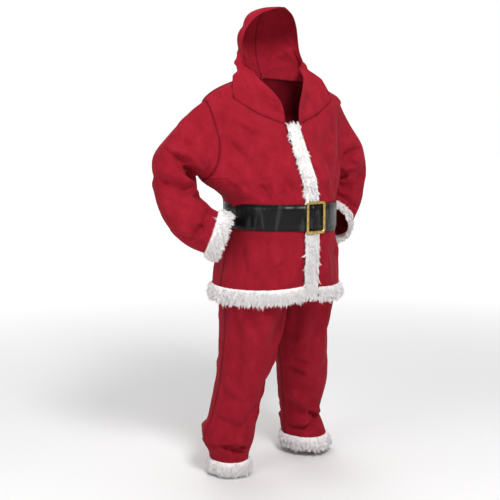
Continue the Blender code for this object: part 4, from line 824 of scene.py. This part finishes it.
pale_links.new(spot.outputs["Object"], away_from_suit.inputs[0])
pale_links.new(away_from_suit.outputs["Value"], glow.inputs["Value"])
pale_links.new(glow.outputs["Result"], pale_shader.inputs["Emission Strength"])
floor_mesh.materials.append(pale)

room = bpy.data.worlds.new("studio_room")
room.use_nodes = True
room_nodes = room.node_tree.nodes
room_links = room.node_tree.links
direction = room_nodes.new("ShaderNodeTexCoord")
towards = room_nodes.new("ShaderNodeVectorMath")
towards.operation = "DOT_PRODUCT"
towards.inputs[1].default_value = BACKDROP
spread = room_nodes.new("ShaderNodeMapRange")
spread.interpolation_type = "SMOOTHSTEP"
spread.inputs["From Min"].default_value = BACKDROP_FROM
spread.inputs["From Max"].default_value = BACKDROP_TO
spread.inputs["To Min"].default_value = ROOM_DIM
spread.inputs["To Max"].default_value = BACKDROP_BRIGHT
room_links.new(direction.outputs["Generated"], towards.inputs[0])
room_links.new(towards.outputs["Value"], spread.inputs["Value"])
room_links.new(spread.outputs["Result"], room_nodes["Background"].inputs["Strength"])
room_nodes["Background"].inputs["Color"].default_value = WHITE
bpy.context.scene.world = room
bpy.context.scene.view_settings.view_transform = "Standard"

Lamp = namedtuple("Lamp", "name x y z size power")
for lamp in (Lamp("key", -0.7, -2.8, 2.5, 1.1, 118.0), Lamp("side", -3.0, -0.8, 0.9, 1.6, 26.0),
             Lamp("top", 0.2, 0.4, 2.8, 2.0, 34.0), Lamp("back", 0.8, 3.0, 1.5, 2.0, 18.0)):
    light = bpy.data.lights.new(lamp.name, "AREA")
    light.size = lamp.size
    light.energy = lamp.power
    light_object = bpy.data.objects.new(lamp.name, light)
    light_object.location = (lamp.x, lamp.y, lamp.z)
    light_object.rotation_mode = "QUATERNION"
    light_object.rotation_quaternion = (LIT_POINT - light_object.location).to_track_quat("-Z", "Y")
    bpy.context.scene.collection.objects.link(light_object)


# The camera stands before the suit, off its right sleeve and at chest height, with a short telephoto
# lens.

AZIMUTH = -36.0
CAMERA_AWAY = 3.5
CAMERA_HEIGHT = 1.35
FOCAL_PIXELS = 902.0
PICTURE = 500.0
SENSOR = 36.0
SUIT_CENTRE_X = 281.0     # where the suit's upright line and the camera's level stand in the picture
LEVEL_Y = 129.0
around = math.radians(AZIMUTH)
back = Vector((math.sin(around), -math.cos(around), 0.0))
sideways = Vector((0, 0, 1)).cross(back)
turned = math.atan((PICTURE / 2 - SUIT_CENTRE_X) / FOCAL_PIXELS)
tilted = -math.atan((PICTURE / 2 - LEVEL_Y) / FOCAL_PIXELS)
ahead = -back * math.cos(turned) + sideways * math.sin(turned)
ahead = ahead * math.cos(tilted) + Vector((0, 0, 1)) * math.sin(tilted)
camera_data = bpy.data.cameras.new("camera")
camera_data.sensor_width = SENSOR
camera_data.lens = FOCAL_PIXELS / PICTURE * SENSOR
camera = bpy.data.objects.new("camera", camera_data)
camera.location = back * CAMERA_AWAY + Vector((0, 0, CAMERA_HEIGHT + FLOOR))
camera.rotation_mode = "QUATERNION"
camera.rotation_quaternion = ahead.to_track_quat("-Z", "Y")
bpy.context.scene.collection.objects.link(camera)
bpy.context.scene.camera = camera
